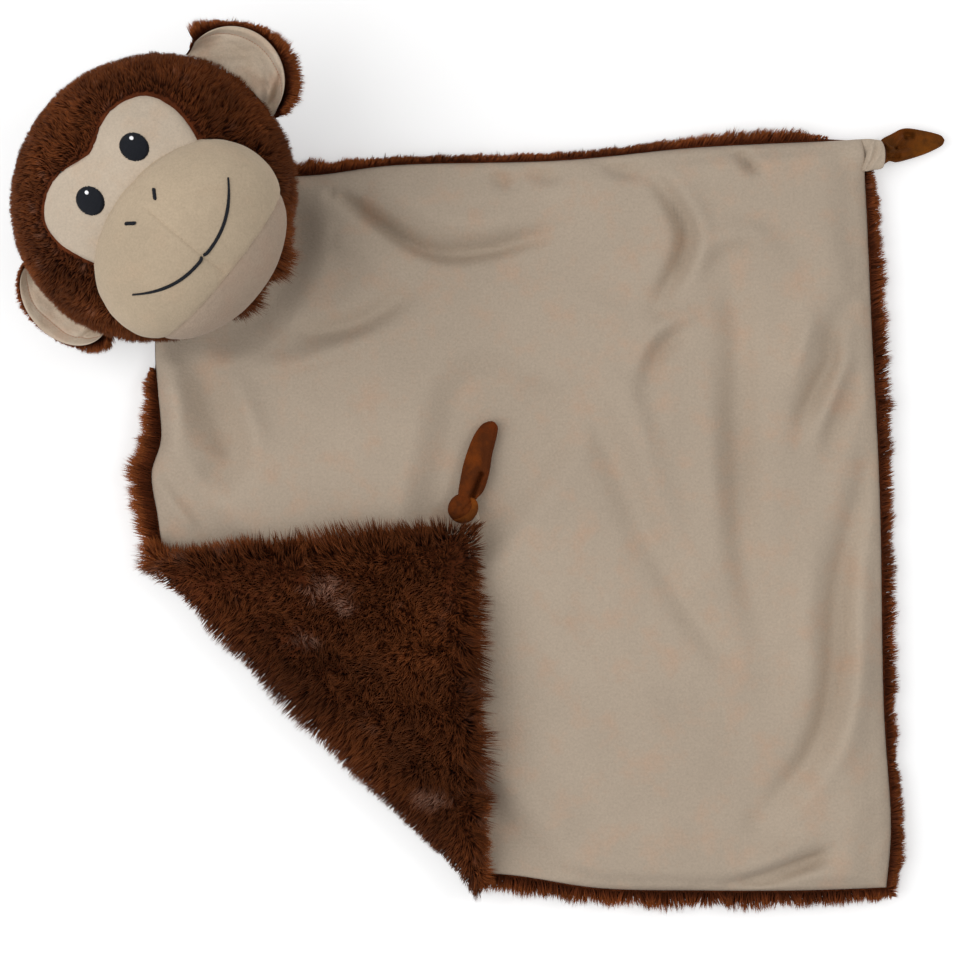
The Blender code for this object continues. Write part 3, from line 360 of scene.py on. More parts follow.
def looseness(flat):
    """0 where the crease, the head or the tab hold the front sheet down, 1 where it is loose."""
    crease = smooth(-(past_crease(flat) + CALM_REACH) / CALM_REACH)
    from_head = np.linalg.norm(flat - (HEAD_FLAT - CROWN_WAY * NECK_DROP / 2), axis=1)
    head = smooth((from_head - HEAD_WIDTH / 3) / CALM_REACH)
    low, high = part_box("flap_corner_tab")
    hub, turn = TAB_HUBS["flap"]
    reach = math.hypot(high.x - low.x, high.y - low.y)
    first, last = (turn + swing for swing in (-TAB_SWEEP, TAB_SWEEP / 4))
    ends = [np.add(hub, [reach * math.cos(angle), reach * math.sin(angle)]) for angle in (first, last)]
    from_tab = line_distance(flat, [ends[0], np.array(hub), ends[1]])[0]
    return crease * head * smooth((from_tab - (high.x - low.x) * 0.6) / CALM_REACH)


def wrinkle(flat, edge, height):
    """How far the front sheet stands off the back one, with its folds and the ridge at its left corner."""
    rise = height * smooth(edge / LOOSE_EDGE_SHARE)
    for peak, width, line in FOLDS:
        points = along_curve(line, np.linspace(0, 1, 4 * len(line))) * BLANKET_SIDE
        apart, at = line_distance(flat, points)
        swell = np.sin(math.pi * np.clip(at, FOLD_END_SHARE, 1 - FOLD_END_SHARE))
        rise += peak * FOLD_GAIN * swell * bell(apart, width * FOLD_WIDTH) * smooth(edge / FOLD_EDGE_SHARE)
    rise += 0.0009 * ripple(flat, 0.085, 3) * smooth(edge / LOOSE_EDGE_SHARE)
    loose = (rise / 2 + np.sqrt(rise**2 / 4 + SOFT_FLOOR**2) - SOFT_FLOOR) * looseness(flat)
    floor = 0.0003 * (1 + ripple(flat, 0.034, 8)) * smooth(edge * 20)
    apart, at = line_distance(flat, np.array(CORNER_RIDGE) * BLANKET_SIDE)
    ends = np.sin(math.pi * np.clip(at, 0.05, 0.95)) ** 0.5
    tuck = CORNER_RIDGE_RISE * bell(apart, CORNER_RIDGE_WIDTH) * ends
    return loose + floor + tuck * smooth(edge / 0.012)


def seam_pucker(flat, edge):
    """Short ripples where the front sheet is sewn down, and the ridge just inside them."""
    inside = edge * BLANKET_SIDE
    gather = 0.0005 * ripple(flat, 0.017, 21, 2) * bell(inside - 0.007, 0.006)
    return gather + 0.0011 * bell(inside - 0.0065, 0.0045)


# Making meshes


def deselect():
    if bpy.context.object and bpy.context.object.mode != "OBJECT":
        bpy.ops.object.mode_set(mode="OBJECT")
    bpy.ops.object.select_all(action="DESELECT")


def use(obj):
    """Only this object is selected and active."""
    deselect()
    obj.select_set(True)
    bpy.context.view_layer.objects.active = obj
    return obj


def named(name):
    obj = bpy.context.active_object
    obj.name = name
    obj.data.name = name
    return use(obj)


def corners_of(obj):
    places = np.zeros(len(obj.data.vertices) * 3)
    obj.data.vertices.foreach_get("co", places)
    return places.reshape(-1, 3)


def place_corners(obj, places):
    obj.data.vertices.foreach_set("co", np.asarray(places, np.float32).ravel())
    obj.data.update()


def edit_all(obj):
    use(obj)
    bpy.ops.object.mode_set(mode="EDIT")
    bpy.ops.mesh.select_mode(type="VERT")
    bpy.ops.mesh.select_all(action="SELECT")


def tidy(obj, merge=2e-6):
    """Doubles merged and faces turned outwards."""
    edit_all(obj)
    if merge:
        bpy.ops.mesh.remove_doubles(threshold=merge)
    bpy.ops.mesh.normals_make_consistent(inside=False)
    bpy.ops.object.mode_set(mode="OBJECT")
    bpy.ops.object.shade_smooth()
    return obj


def modify(obj, kind, **values):
    """Adds a modifier with these values and applies it."""
    use(obj)
    modifier = obj.modifiers.new(kind.title(), kind)
    for key, value in values.items():
        setattr(modifier, key, value)
    bpy.ops.object.modifier_apply(modifier=modifier.name)
    return obj


def thicken(obj, thickness):
    modify(obj, "SOLIDIFY", thickness=thickness, offset=-1.0, use_even_offset=False)
    return tidy(obj, 0)


def crisp_rim(obj):
    """Keeps the shading of a sheet's two faces apart at its cut rim."""
    edit_all(obj)
    bpy.ops.mesh.select_mode(type="EDGE")
    bpy.ops.mesh.select_all(action="DESELECT")
    bpy.ops.mesh.edges_select_sharp(sharpness=math.radians(50))
    bpy.ops.mesh.mark_sharp()
    bpy.ops.object.mode_set(mode="OBJECT")
    return obj


def unit_grid(name, columns, rows):
    """A flat grid, with the shares across and up it of its corners."""
    deselect()
    bpy.ops.mesh.primitive_grid_add(x_subdivisions=columns, y_subdivisions=rows, size=2)
    obj = named(name)
    shares = corners_of(obj)[:, :2] / 2 + 0.5
    return obj, shares[:, 0], shares[:, 1]


def warped_grid(name, columns, rows, shape):
    """A grid whose corners shape(u, v) places. The sides that meet are merged."""
    obj, u, v = unit_grid(name, columns, rows)
    place_corners(obj, shape(u, v))
    return tidy(obj)


def double_sheet(name, columns, rows, upper, lower):
    """A closed sheet of two faces: upper(u, v) and lower(u, v) place its corners."""
    obj, u, v = unit_grid(name, columns, rows)
    modify(obj, "SOLIDIFY", thickness=0.01, offset=-1.0)
    place_corners(obj, np.concatenate([upper(u, v), lower(u, v)]))
    return tidy(obj, 0)


def map_cloth(obj, flat):
    """The piece's UV map: places on the flat cloth, in metres, for its two faces."""
    layer = obj.data.uv_layers[0]
    layer.name = "Cloth"
    corner = np.zeros(len(obj.data.loops), np.int32)
    obj.data.loops.foreach_get("vertex_index", corner)
    flat = np.concatenate([flat, flat])
    layer.data.foreach_set("uv", flat[corner].astype(np.float32).ravel())


def into_place(obj, matrix):
    obj.data.transform(matrix)
    obj.data.update()
    return obj


def turned(matrix, ways):
    return ways @ np.array(matrix)[:3, :3].T


def moved(matrix, places):
    return turned(matrix, places) + np.array(matrix)[:3, 3]


def dress(obj, body, cloth, nodes=()):
    """Gives the finished piece its material and the body it moves with, and hides the solids that it stands for.
    """
    obj.data.materials.clear()
    obj.data.materials.append(finish(cloth))
    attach(obj, body)
    if nodes:
        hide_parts(*nodes)
    return obj


def add_ball(name, half, centre, spokes, rings):
    deselect()
    bpy.ops.mesh.primitive_uv_sphere_add(segments=spokes, ring_count=rings, radius=1.0)
    obj = named(name)
    place_corners(obj, corners_of(obj) * half + centre)
    return obj


def cut(obj, place, way, clear=True):
    """Cuts the mesh with a plane. It clears the side that the way points to, or only adds corners for a seam."""
    edit_all(obj)
    bpy.ops.mesh.bisect(plane_co=place, plane_no=way, clear_outer=clear)
    bpy.ops.object.mode_set(mode="OBJECT")
    return obj


def remove_corners(obj, chosen):
    """Deletes the corners that are chosen, with their faces."""
    use(obj)
    obj.data.vertices.foreach_set("select", np.asarray(chosen, bool))
    obj.data.edges.foreach_set("select", np.zeros(len(obj.data.edges), bool))
    obj.data.polygons.foreach_set("select", np.zeros(len(obj.data.polygons), bool))
    bpy.ops.object.mode_set(mode="EDIT")
    bpy.ops.mesh.select_mode(type="VERT")
    bpy.ops.mesh.delete(type="VERT")
    bpy.ops.object.mode_set(mode="OBJECT")
    return obj


def mesh_of(name, places, faces):
    """A new object from corners and faces of equal length."""
    mesh = bpy.data.meshes.new(name)
    mesh.vertices.add(len(places))
    mesh.vertices.foreach_set("co", np.asarray(places, np.float32).ravel())
    starts, corner = [], []
    at = 0
    for block in faces:
        starts.append(at + np.arange(len(block)) * block.shape[1])
        corner.append(block.ravel())
        at += block.size
    mesh.loops.add(at)
    mesh.loops.foreach_set("vertex_index", np.concatenate(corner).astype(np.int32))
    starts = np.concatenate(starts).astype(np.int32)
    mesh.polygons.add(len(starts))
    mesh.polygons.foreach_set("loop_start", starts)
    mesh.update(calc_edges=True)
    mesh.validate()
    mesh.shade_smooth()
    obj = bpy.data.objects.new(name, mesh)
    bpy.context.scene.collection.objects.link(obj)
    return obj


# The pile: tapered strands, closed at the root, that lean together in tufts


def tufted(roots, tips, size, pull, seed):
    """The tips drawn towards the middle of their tuft."""
    sway = np.column_stack([ripple(roots, size * 2.4, seed + k, 2) for k in range(3)]) * size * 0.7
    cell = np.floor((roots + sway) / size).astype(int)
    tuft = np.unique(cell, axis=0, return_inverse=True)[1].ravel()
    count = np.bincount(tuft)
    middle = np.column_stack([np.bincount(tuft, tips[:, k]) / count for k in range(3)])
    return tips + (middle[tuft] - tips) * pull[:, None]


def strands(name, roots, out, tips, width, tone, seed, floor=None):
    """Strands from roots to tips that leave the cloth along out. tone shades each one, 0 to 1."""
    chance = np.random.default_rng(seed)
    count = len(roots)
    run = tips - roots
    length = np.linalg.norm(run, axis=1, keepdims=True)
    bend = roots + unit(out) * length * 0.5
    middle = 0.25 * roots + 0.5 * bend + 0.25 * tips
    way = run / np.maximum(length, 1e-9)
    side = unit(np.cross(way, chance.normal(size=(count, 3))))
    other = np.cross(way, side)
    rings = []
    for centre, share in ((roots, 0.5), (middle, 0.42)):
        for k in range(3):
            angle = math.tau * k / 3
            spread = (side * math.cos(angle) + other * math.sin(angle)) * (width * share)[:, None]
            rings.append(centre + spread)
    places = np.stack([*rings, tips], axis=1)
    if floor is not None:
        places[:, :, 2] = np.maximum(places[:, :, 2], floor)
    base = (np.arange(count) * 7)[:, None]
    quads = np.concatenate([base + [k, (k + 1) % 3, 3 + (k + 1) % 3, 3 + k] for k in range(3)])
    ends = np.concatenate([base + [3 + k, 3 + (k + 1) % 3, 6] for k in range(3)] + [base + [2, 1, 0]])
    obj = mesh_of(name, places.reshape(-1, 3), [quads, ends])
    colour = np.ones((count, 7, 4), np.float32)
    colour[:, :, 0] = [0, 0, 0, 0.5, 0.5, 0.5, 1]
    colour[:, :, 1] = chance.uniform(0, 1, (count, 1))
    colour[:, :, 2] = np.clip(tone, 0, 1)[:, None]
    obj.data.attributes.new("Pile", "FLOAT_COLOR", "POINT").data.foreach_set("color", colour.ravel())
    return obj


def pile_pieces(name, roots, out, tips, width, tone, seed, body, cloth, floor=None):
    """The strands as pieces that are small enough to export, cut across their longest side."""
    order = np.argsort(roots[:, int(np.argmax(np.ptp(roots, axis=0)))])
    for number, chosen in enumerate(np.array_split(order, math.ceil(len(order) / PILE_MOST)), 1):
        values = (array[chosen] for array in (roots, out, tips, width, tone))
        dress(strands(f"{name}_{number}", *values, seed + number, floor), body, cloth)


# Finishes


def new_group(name, inputs, outputs):
    """A shader node group with these sockets, its input and output nodes and its links."""
    group = bpy.data.node_groups.new(name, "ShaderNodeTree")
    for socket, kind, value in inputs:
        made = group.interface.new_socket(socket, in_out="INPUT", socket_type=f"NodeSocket{kind}")
        if value is not None:
            made.default_value = value
    for socket, kind in outputs:
        group.interface.new_socket(socket, in_out="OUTPUT", socket_type=f"NodeSocket{kind}")
    return group, group.nodes.new("NodeGroupInput"), group.nodes.new("NodeGroupOutput")


def add_node(tree, kind, **values):
    """A node with its properties and, for names that are sockets, their values."""
    node = tree.nodes.new(f"ShaderNode{kind}")
    for key, value in values.items():
        if hasattr(node, key):
            setattr(node, key, value)
        else:
            node.inputs[key.replace("_", " ")].default_value = value
    return node


def noise_in(tree, vector, scale, detail, rough):
    node = add_node(tree, "TexNoise", Detail=detail, Roughness=rough)
    tree.links.new(vector, node.inputs["Vector"])
    if isinstance(scale, float):
        node.inputs["Scale"].default_value = scale
    else:
        tree.links.new(scale, node.inputs["Scale"])
    return node.outputs["Fac"]


def ranged(tree, value, low, high, to_low, to_high):
    node = add_node(tree, "MapRange", clamp=True)
    tree.links.new(value, node.inputs["Value"])
    for socket, number in (("From Min", low), ("From Max", high), ("To Min", to_low), ("To Max", to_high)):
        node.inputs[socket].default_value = number
    return node.outputs["Result"]


def mixed(tree, factor, first, second, blend="MIX"):
    """A colour mix. first and second are colours or sockets."""
    node = add_node(tree, "Mix", data_type="RGBA", blend_type=blend)
    for index, value in ((0, factor), (6, first), (7, second)):
        if isinstance(value, bpy.types.NodeSocket):
            tree.links.new(value, node.inputs[index])
        elif index == 0:
            node.inputs[index].default_value = value
        else:
            node.inputs[index].default_value = (*value[:3], 1.0)
    return node.outputs[2]


def calculated(tree, operation, first, second):
    node = add_node(tree, "Math", operation=operation)
    for index, value in enumerate((first, second)):
        if isinstance(value, bpy.types.NodeSocket):
            tree.links.new(value, node.inputs[index])
        else:
            node.inputs[index].default_value = value
    return node.outputs[0]


def nap_group():
    """Short velvet nap: where it is brushed the other way it is paler or darker, and it has a fine grain."""
    found = bpy.data.node_groups.get("Velour nap")
    if found:
        return found
    tree, start, end = new_group(
        "Velour nap",
        [
            ("Vector", "Vector", None), ("Colour", "Color", (0.6, 0.5, 0.4, 1)),
            ("Brushed", "Color", (0.7, 0.6, 0.5, 1)), ("Blush", "Color", (0.65, 0.45, 0.35, 1)),
            ("Patch Scale", "Float", 14.0), ("Grain Scale", "Float", 900.0),
        ],
        [("Colour", "Color"), ("Roughness", "Float"), ("Height", "Float")],
    )
    vector = start.outputs["Vector"]
    patches = noise_in(tree, vector, start.outputs["Patch Scale"], 5.0, 0.6)
    grain = noise_in(tree, vector, start.outputs["Grain Scale"], 2.0, 0.6)
    streak = noise_in(tree, vector, 55.0, 4.0, 0.62)
    speck = noise_in(tree, vector, 330.0, 3.0, 0.6)
    brushed = ranged(tree, patches, 0.42, 0.66, 0, 1)
    colour = mixed(tree, brushed, start.outputs["Colour"], start.outputs["Brushed"])
    colour = mixed(tree, ranged(tree, streak, 0.50, 0.72, 0, 0.70), colour, start.outputs["Blush"])
    colour = mixed(tree, 1.0, colour, ranged(tree, grain, 0.25, 0.75, 0.90, 1.06), "MULTIPLY")
    colour = mixed(tree, 1.0, colour, ranged(tree, speck, 0.3, 0.7, 0.975, 1.02), "MULTIPLY")
    tree.links.new(colour, end.inputs["Colour"])
    tree.links.new(ranged(tree, patches, 0.35, 0.7, 0.82, 0.95), end.inputs["Roughness"])
    height = calculated(tree, "ADD", grain, calculated(tree, "MULTIPLY", speck, 0.8))
    tree.links.new(height, end.inputs["Height"])
    return tree


def pile_group():
    """The colour of a strand: dark at its root, paler and redder towards its tip, and no two alike. The dark
    root is painted shade among the strands; the paler, redder tip is partly the fibre's own colour and partly
    painted light through it.
    """
    found = bpy.data.node_groups.get("Pile strand")
    if found:
        return found
    tree, start, end = new_group(
        "Pile strand",
        [
            ("Vector", "Vector", None), ("Root", "Color", (0.02, 0.01, 0.005, 1)),
            ("Middle", "Color", (0.08, 0.03, 0.01, 1)), ("Tip", "Color", (0.2, 0.08, 0.03, 1)),
            ("Parted", "Color", (0.35, 0.2, 0.13, 1)),
        ],
        [("Colour", "Color"), ("Roughness", "Float")],
    )
    parts = add_node(tree, "SeparateColor")
    tree.links.new(add_node(tree, "Attribute", attribute_name="Pile").outputs["Color"], parts.inputs["Color"])
    along, chance, tone = parts.outputs["Red"], parts.outputs["Green"], parts.outputs["Blue"]
    colour = mixed(tree, ranged(tree, along, 0.0, 0.5, 0, 1), start.outputs["Root"], start.outputs["Middle"])
    colour = mixed(tree, ranged(tree, along, 0.45, 1.0, 0, 1), colour, start.outputs["Tip"])
    colour = mixed(tree, ranged(tree, tone, 0.55, 1.0, 0, 0.85), colour, start.outputs["Parted"])
    dim = ranged(tree, tone, 0, 0.5, 0.6, 1.0)
    shade = calculated(tree, "MULTIPLY", ranged(tree, chance, 0, 1, 0.62, 1.46), dim)
    wide = noise_in(tree, start.outputs["Vector"], 26.0, 3.0, 0.5)
    shade = calculated(tree, "MULTIPLY", shade, ranged(tree, wide, 0.3, 0.7, 0.62, 1.34))
    tree.links.new(mixed(tree, 1.0, colour, shade, "MULTIPLY"), end.inputs["Colour"])
    tree.links.new(ranged(tree, along, 0, 1, 0.75, 0.5), end.inputs["Roughness"])
    return tree


def new_material(name, specular):
    """A new material, its node tree and its main shader."""
    made = bpy.data.materials.new(name)
    made.use_nodes = True
    shader = made.node_tree.nodes["Principled BSDF"]
    shader.inputs["Specular IOR Level"].default_value = specular
    return made, made.node_tree, shader


def object_places(tree):
    return add_node(tree, "TexCoord").outputs["Object"]


def feed(tree, shader, group, vector, **values):
    """A node of a shared group with these values, which gives the shader its colour and roughness."""
    node = tree.nodes.new("ShaderNodeGroup")
    node.node_tree = group
    for key, value in values.items():
        value = value if isinstance(value, float) else (*value, 1.0)
        node.inputs[key.replace("_", " ")].default_value = value
    tree.links.new(vector, node.inputs["Vector"])
    tree.links.new(node.outputs["Colour"], shader.inputs["Base Color"])
    tree.links.new(node.outputs["Roughness"], shader.inputs["Roughness"])
    return node


def relieve(tree, shader, height, strength, distance):
    """Gives a surface its fine relief."""
    relief = add_node(tree, "Bump", Strength=strength, Distance=distance)
    tree.links.new(height, relief.inputs["Height"])
    tree.links.new(relief.outputs["Normal"], shader.inputs["Normal"])


def velour(name, colour, brushed, blush, vector, patch_scale, grain, bump, sheen):
    """Velour: soft, a little bright where it turns away, with its nap's own unevenness."""
    made, tree, shader = new_material(name, 0.15)
    if vector == "Cloth":
        source = add_node(tree, "UVMap", uv_map="Cloth").outputs["UV"]
    else:
        source = object_places(tree)
    nap = feed(
        tree, shader, nap_group(), source,
        Colour=colour, Brushed=brushed, Blush=blush, Patch_Scale=patch_scale, Grain_Scale=grain,
    )
    relieve(tree, shader, nap.outputs["Height"], bump, 0.0006)
    shader.inputs["Sheen Weight"].default_value = sheen
    shader.inputs["Sheen Roughness"].default_value = 0.5
    return made


def pile(name, root, middle, tip):
    """Long plush pile: a soft, faintly glossy fibre."""
    made, tree, shader = new_material(name, 0.1)
    source = object_places(tree)
    feed(tree, shader, pile_group(), source, Root=root, Middle=middle, Tip=tip, Parted=PARTED_GROUND)
    return made


def plush_ground(name, colour, pale):
    """The knitted ground of the plush, seen between the strands, with the short pile that covers it."""
    made, tree, shader = new_material(name, 0.1)
    source = object_places(tree)
    tufts = noise_in(tree, source, 260.0, 5.0, 0.65)
    patches = noise_in(tree, source, 40.0, 3.0, 0.5)
    knit = mixed(tree, ranged(tree, tufts, 0.35, 0.72, 0, 1), colour, pale)
    knit = mixed(tree, 1.0, knit, ranged(tree, patches, 0.3, 0.7, 0.75, 1.15), "MULTIPLY")
    tree.links.new(knit, shader.inputs["Base Color"])
    tree.links.new(ranged(tree, tufts, 0.3, 0.7, 0.95, 0.8), shader.inputs["Roughness"])
    relieve(tree, shader, tufts, 0.8, 0.002)
    return made


def thread(name, colour, specular):
    """Embroidery thread: twisted, a little glossy."""
    made, tree, shader = new_material(name, specular)
    twist = noise_in(tree, object_places(tree), 2200.0, 2.0, 0.5)
    pale = tuple(c * 1.7 + 0.002 for c in colour)
    tree.links.new(mixed(tree, ranged(tree, twist, 0.3, 0.7, 0, 1), colour, pale), shader.inputs["Base Color"])
    tree.links.new(ranged(tree, twist, 0.3, 0.7, 0.42, 0.62), shader.inputs["Roughness"])
    relieve(tree, shader, twist, 0.3, 0.0002)
    return made


# For each velour: the colour it starts from and its tint; the tints of its nap, where it is brushed and where
# it blushes; its coordinates; and its patches, grain, relief and sheen
CHESTNUT_NAP = (0.70, 1.55, (0.85, 0.60, 0.6), "Object", 110.0, 1300.0, 0.5, 0.0)
VELOURS = {
    "cream velour of the blanket": (
        "cream", 1.0, 0.97, 1.06, (1.12, 0.95, 0.87), "Cloth", 9.0, 850.0, 0.4, 0.08),
    "cream velour of the corners": (
        "cream", 1.0, 1.0, 1.10, (1.10, 0.98, 0.92), "Object", 60.0, 1000.0, 0.4, 0.1),
    "cream velour of the face": (
        "face", 1.0, 0.97, 1.05, (1.03, 0.95, 0.89), "Object", 22.0, 1000.0, 0.4, 0.1),
    # The muzzle's darker, yellower tint is partly its own tone and partly painted shade
    "cream velour of the muzzle": (
        "face", (0.88, 0.84, 0.76), 0.95, 1.06, (1.05, 1.0, 0.98), "Object", 22.0, 1000.0, 0.4, 0.1),
    # The chin's much darker tints are painted shade under the chin
    "cream velour of the chin": (
        "face", 1.0, (0.68, 0.63, 0.61), (0.75, 0.69, 0.67), (0.70, 0.60, 0.57), "Object",
        22.0, 1000.0, 0.4, 0.08),
    "cream velour of the ears": (
        "face", 1.0, (0.98, 0.94, 0.90), 1.08, (1.00, 0.82, 0.74), "Object", 40.0, 1000.0, 0.4, 0.2),
    "chestnut velour of the folded corner's tab": ("tabs", 1.0, *CHESTNUT_NAP),
    "chestnut velour of the upper corner's tab": ("tabs", (1.15, 1.15 * 1.35, 1.15), *CHESTNUT_NAP),
    # The wrap's lighter, more golden tint is a painted highlight
    "chestnut velour of the wrap": ("tabs", (1.45, 1.45 * 1.18, 1.45), *CHESTNUT_NAP),
}
FIBRE = ((0.72, 0.72, 0.70), (0.82, 0.82, 0.80), (0.66, 0.66, 0.65), "Object", 60.0, 700.0, 0.6, 0.1)

# How light each pile is, with the fringe and the ears lightened as painted light; the tints of its strands'
# root, middle and tip, with painted shade at the root and partly painted light at the tip; and the ground seen
# where it is parted
PILES = {
    "brown pile of the folded corner": 0.86,
    "brown pile of the underside": 1.0,
    # The fringe is lightened: painted light, as if lit through from behind
    "brown pile of the fringe": 1.75,
    "brown pile of the head": 1.1,
    # The ears are lightened: painted light on their rims, against their shade
    "brown pile of the ears": 1.7,
}
# Strand tints from root to tip: the dark root is painted shade, the pale tip partly painted light
STRAND_SHADE_AND_LIGHT_TINTS = (0.38, 0.78, (1.95, 2.30, 1.9))
PARTED_GROUND = (0.50, 0.27, 0.19)

# The tints of each plush ground's knit and of its short pile, and each fixed thread's colour and gloss
# The corner's darker ground is painted shadow at the end of the upper cuff
GROUNDS = {"brown plush ground": (0.6, 1.3), "brown hem of the corner": (0.5, 0.9)}
THREADS = {"reddish thread": ((0.30, 0.105, 0.055), 0.3), "white thread": ((0.80, 0.80, 0.82), 0.5)}


def tinted(colour, tint):
    """A colour times one number, or times a number for each of its parts."""
    return tuple(np.minimum(1.0, np.multiply(tuple(colour), tint)))


def finish(name):
    """The material of this name, made once."""
    found = bpy.data.materials.get(name)
    if found:
        return found
    colours = bpy.context.scene.lovey_colours
    if name in VELOURS:
        source, base, nap, brushed, blush, *surface = VELOURS[name]
        colour = tinted(getattr(colours, source), base)
        return velour(name, *(tinted(colour, tint) for tint in (nap, brushed, blush)), *surface)
    if name in PILES:
        colour = tinted(colours.pile, PILES[name])
        return pile(name, *(tinted(colour, tint) for tint in STRAND_SHADE_AND_LIGHT_TINTS))
    if name in GROUNDS:
        return plush_ground(name, *(tinted(colours.pile, tint) for tint in GROUNDS[name]))
    if name in THREADS:
        return thread(name, *THREADS[name])
    if name == "black thread":
        return thread(name, tuple(colours.thread), 0.2)
    if name == "white fibre filling":
        return velour(name, *FIBRE)
    raise ValueError(f"no finish is named {name}")


# Sizes and colours that a maker would change


class LoveyBlanket(bpy.types.PropertyGroup):
    cloth_cell: FloatProperty(
        name="Cloth Cell", description="Size of the front sheet's mesh cells",
        default=0.0019, min=0.001, max=0.02, unit="LENGTH",
    )
    fold_sag: FloatProperty(
        name="Sag", description="How high the loose front sheet stands off the back one",
        default=0.0086, min=0.0, max=0.014, unit="LENGTH",
    )
    edge_roll: FloatProperty(
        name="Edge Roll", description="How far the plush rolls out past the seam",
        default=0.0026, min=0.001, max=0.008, unit="LENGTH",
    )
    pile_length: FloatProperty(
        name="Pile Length", description="Length of the plush on the folded corner",
        default=0.0076, min=0.003, max=0.02, unit="LENGTH",
    )
    fringe_length: FloatProperty(
        name="Fringe Length", description="Length of the plush round the edge",
        default=0.0095, min=0.003, max=0.02, unit="LENGTH",
    )
    flap_strands: IntProperty(
        name="Folded Corner Strands", description="Number of strands on the folded corner",
        default=52000, min=1000, max=80000,
    )
    fringe_strands: IntProperty(
        name="Fringe Strands", description="Number of strands round the edge",
        default=26000, min=1000, max=60000,
    )
    under_strands: IntProperty(
        name="Underside Strands", description="Number of strands underneath",
        default=15000, min=1000, max=60000,
    )


class LoveyHead(bpy.types.PropertyGroup):
    pile_length: FloatProperty(
        name="Pile Length", description="Length of the plush on the head",
        default=0.0062, min=0.003, max=0.02, unit="LENGTH",
    )
    strands: IntProperty(
        name="Head Strands", description="Number of strands on the head",
        default=56000, min=1000, max=90000,
    )
    ear_strands: IntProperty(
        name="Ear Strands", description="Number of strands on each ear",
        default=4600, min=500, max=20000,
    )


class LoveyColours(bpy.types.PropertyGroup):
    cream: FloatVectorProperty(
        name="Blanket Velour", description="Cream of the blanket's front",
        default=(0.50, 0.405, 0.312), subtype="COLOR", min=0, max=1,
    )
    face: FloatVectorProperty(
        name="Face Velour", description="Cream of the face, muzzle and ears",
        default=(0.60, 0.495, 0.385), subtype="COLOR", min=0, max=1,
    )
    pile: FloatVectorProperty(
        name="Plush", description="Brown of the plush",
        default=(0.122, 0.0290, 0.0083), subtype="COLOR", min=0, max=1,
    )
    tabs: FloatVectorProperty(
        name="Corner Tabs", description="Chestnut of the corner tabs",
        default=(0.122, 0.0262, 0.0022), subtype="COLOR", min=0, max=1,
    )
    thread: FloatVectorProperty(
        name="Thread", description="Blue-black of the embroidery",
        default=(0.0035, 0.0045, 0.008), subtype="COLOR", min=0, max=1,
    )


class LoveyStage(bpy.types.PropertyGroup):
    camera_place: FloatVectorProperty(
        name="Camera", description="Where the camera hangs, looking straight down",
        default=(-0.024, 0.0216, 1.5), subtype="TRANSLATION", unit="LENGTH",
    )
    lens: FloatProperty(
        name="Lens", description="Focal length on a 36 mm sensor",
        default=114.19, unit="CAMERA",
    )
    window_power: FloatProperty(
        name="Window", description="Power of the large soft lamp at the upper left",
        default=24.5, unit="POWER",
    )
    fill_power: FloatProperty(
        name="Fill", description="Power of the soft lamp opposite",
        default=5.2, unit="POWER",
    )
    sky: FloatProperty(
        name="Sky", description="Brightness of the plain surroundings",
        default=0.50, min=0, max=2,
    )
    floor_colour: FloatVectorProperty(
        name="Floor", description="Colour of the floor",
        default=(0.92, 0.92, 0.92), subtype="COLOR", min=0, max=1,
    )


# Blanket


def ringed(share, cells, rings):
    """For a grid with rings of cells past the seam: the share across the blanket, and the distance past it."""
    steps = np.rint(share * (cells + 2 * len(rings))).astype(int) - len(rings)
    rings = np.asarray(rings)
    past = np.clip(steps - cells - 1, 0, len(rings) - 1)
    before = np.clip(-steps - 1, 0, len(rings) - 1)
    out = np.where(steps > cells, rings[past], np.where(steps < 0, -rings[before], 0.0))
    return np.clip(steps / cells, 0.0, 1.0), out


def ringed_place(u, v, cells, rings):
    """Flat places, the share in from the edge and the distance past the seam, for such a grid."""
    across, out_x = ringed(u, cells, rings)
    up, out_y = ringed(v, cells, rings)
    flat = flat_place(across, up)
    reach, length = np.maximum(abs(out_x), abs(out_y)), np.hypot(out_x, out_y)
    drawn_in = 1 - 0.9 * bell(np.linalg.norm(flat - CUFF_CORNER, axis=1), 0.020)
    drawn_in -= 0.9 * drawn_in * smooth((up - 0.75) / 0.05) * (out_x < 0)
    flat += np.column_stack([out_x, out_y]) * (drawn_in * reach / np.maximum(length, 1e-9))[:, None]
    edge = np.minimum.reduce([across, 1 - across, up, 1 - up])
    return flat, edge, reach


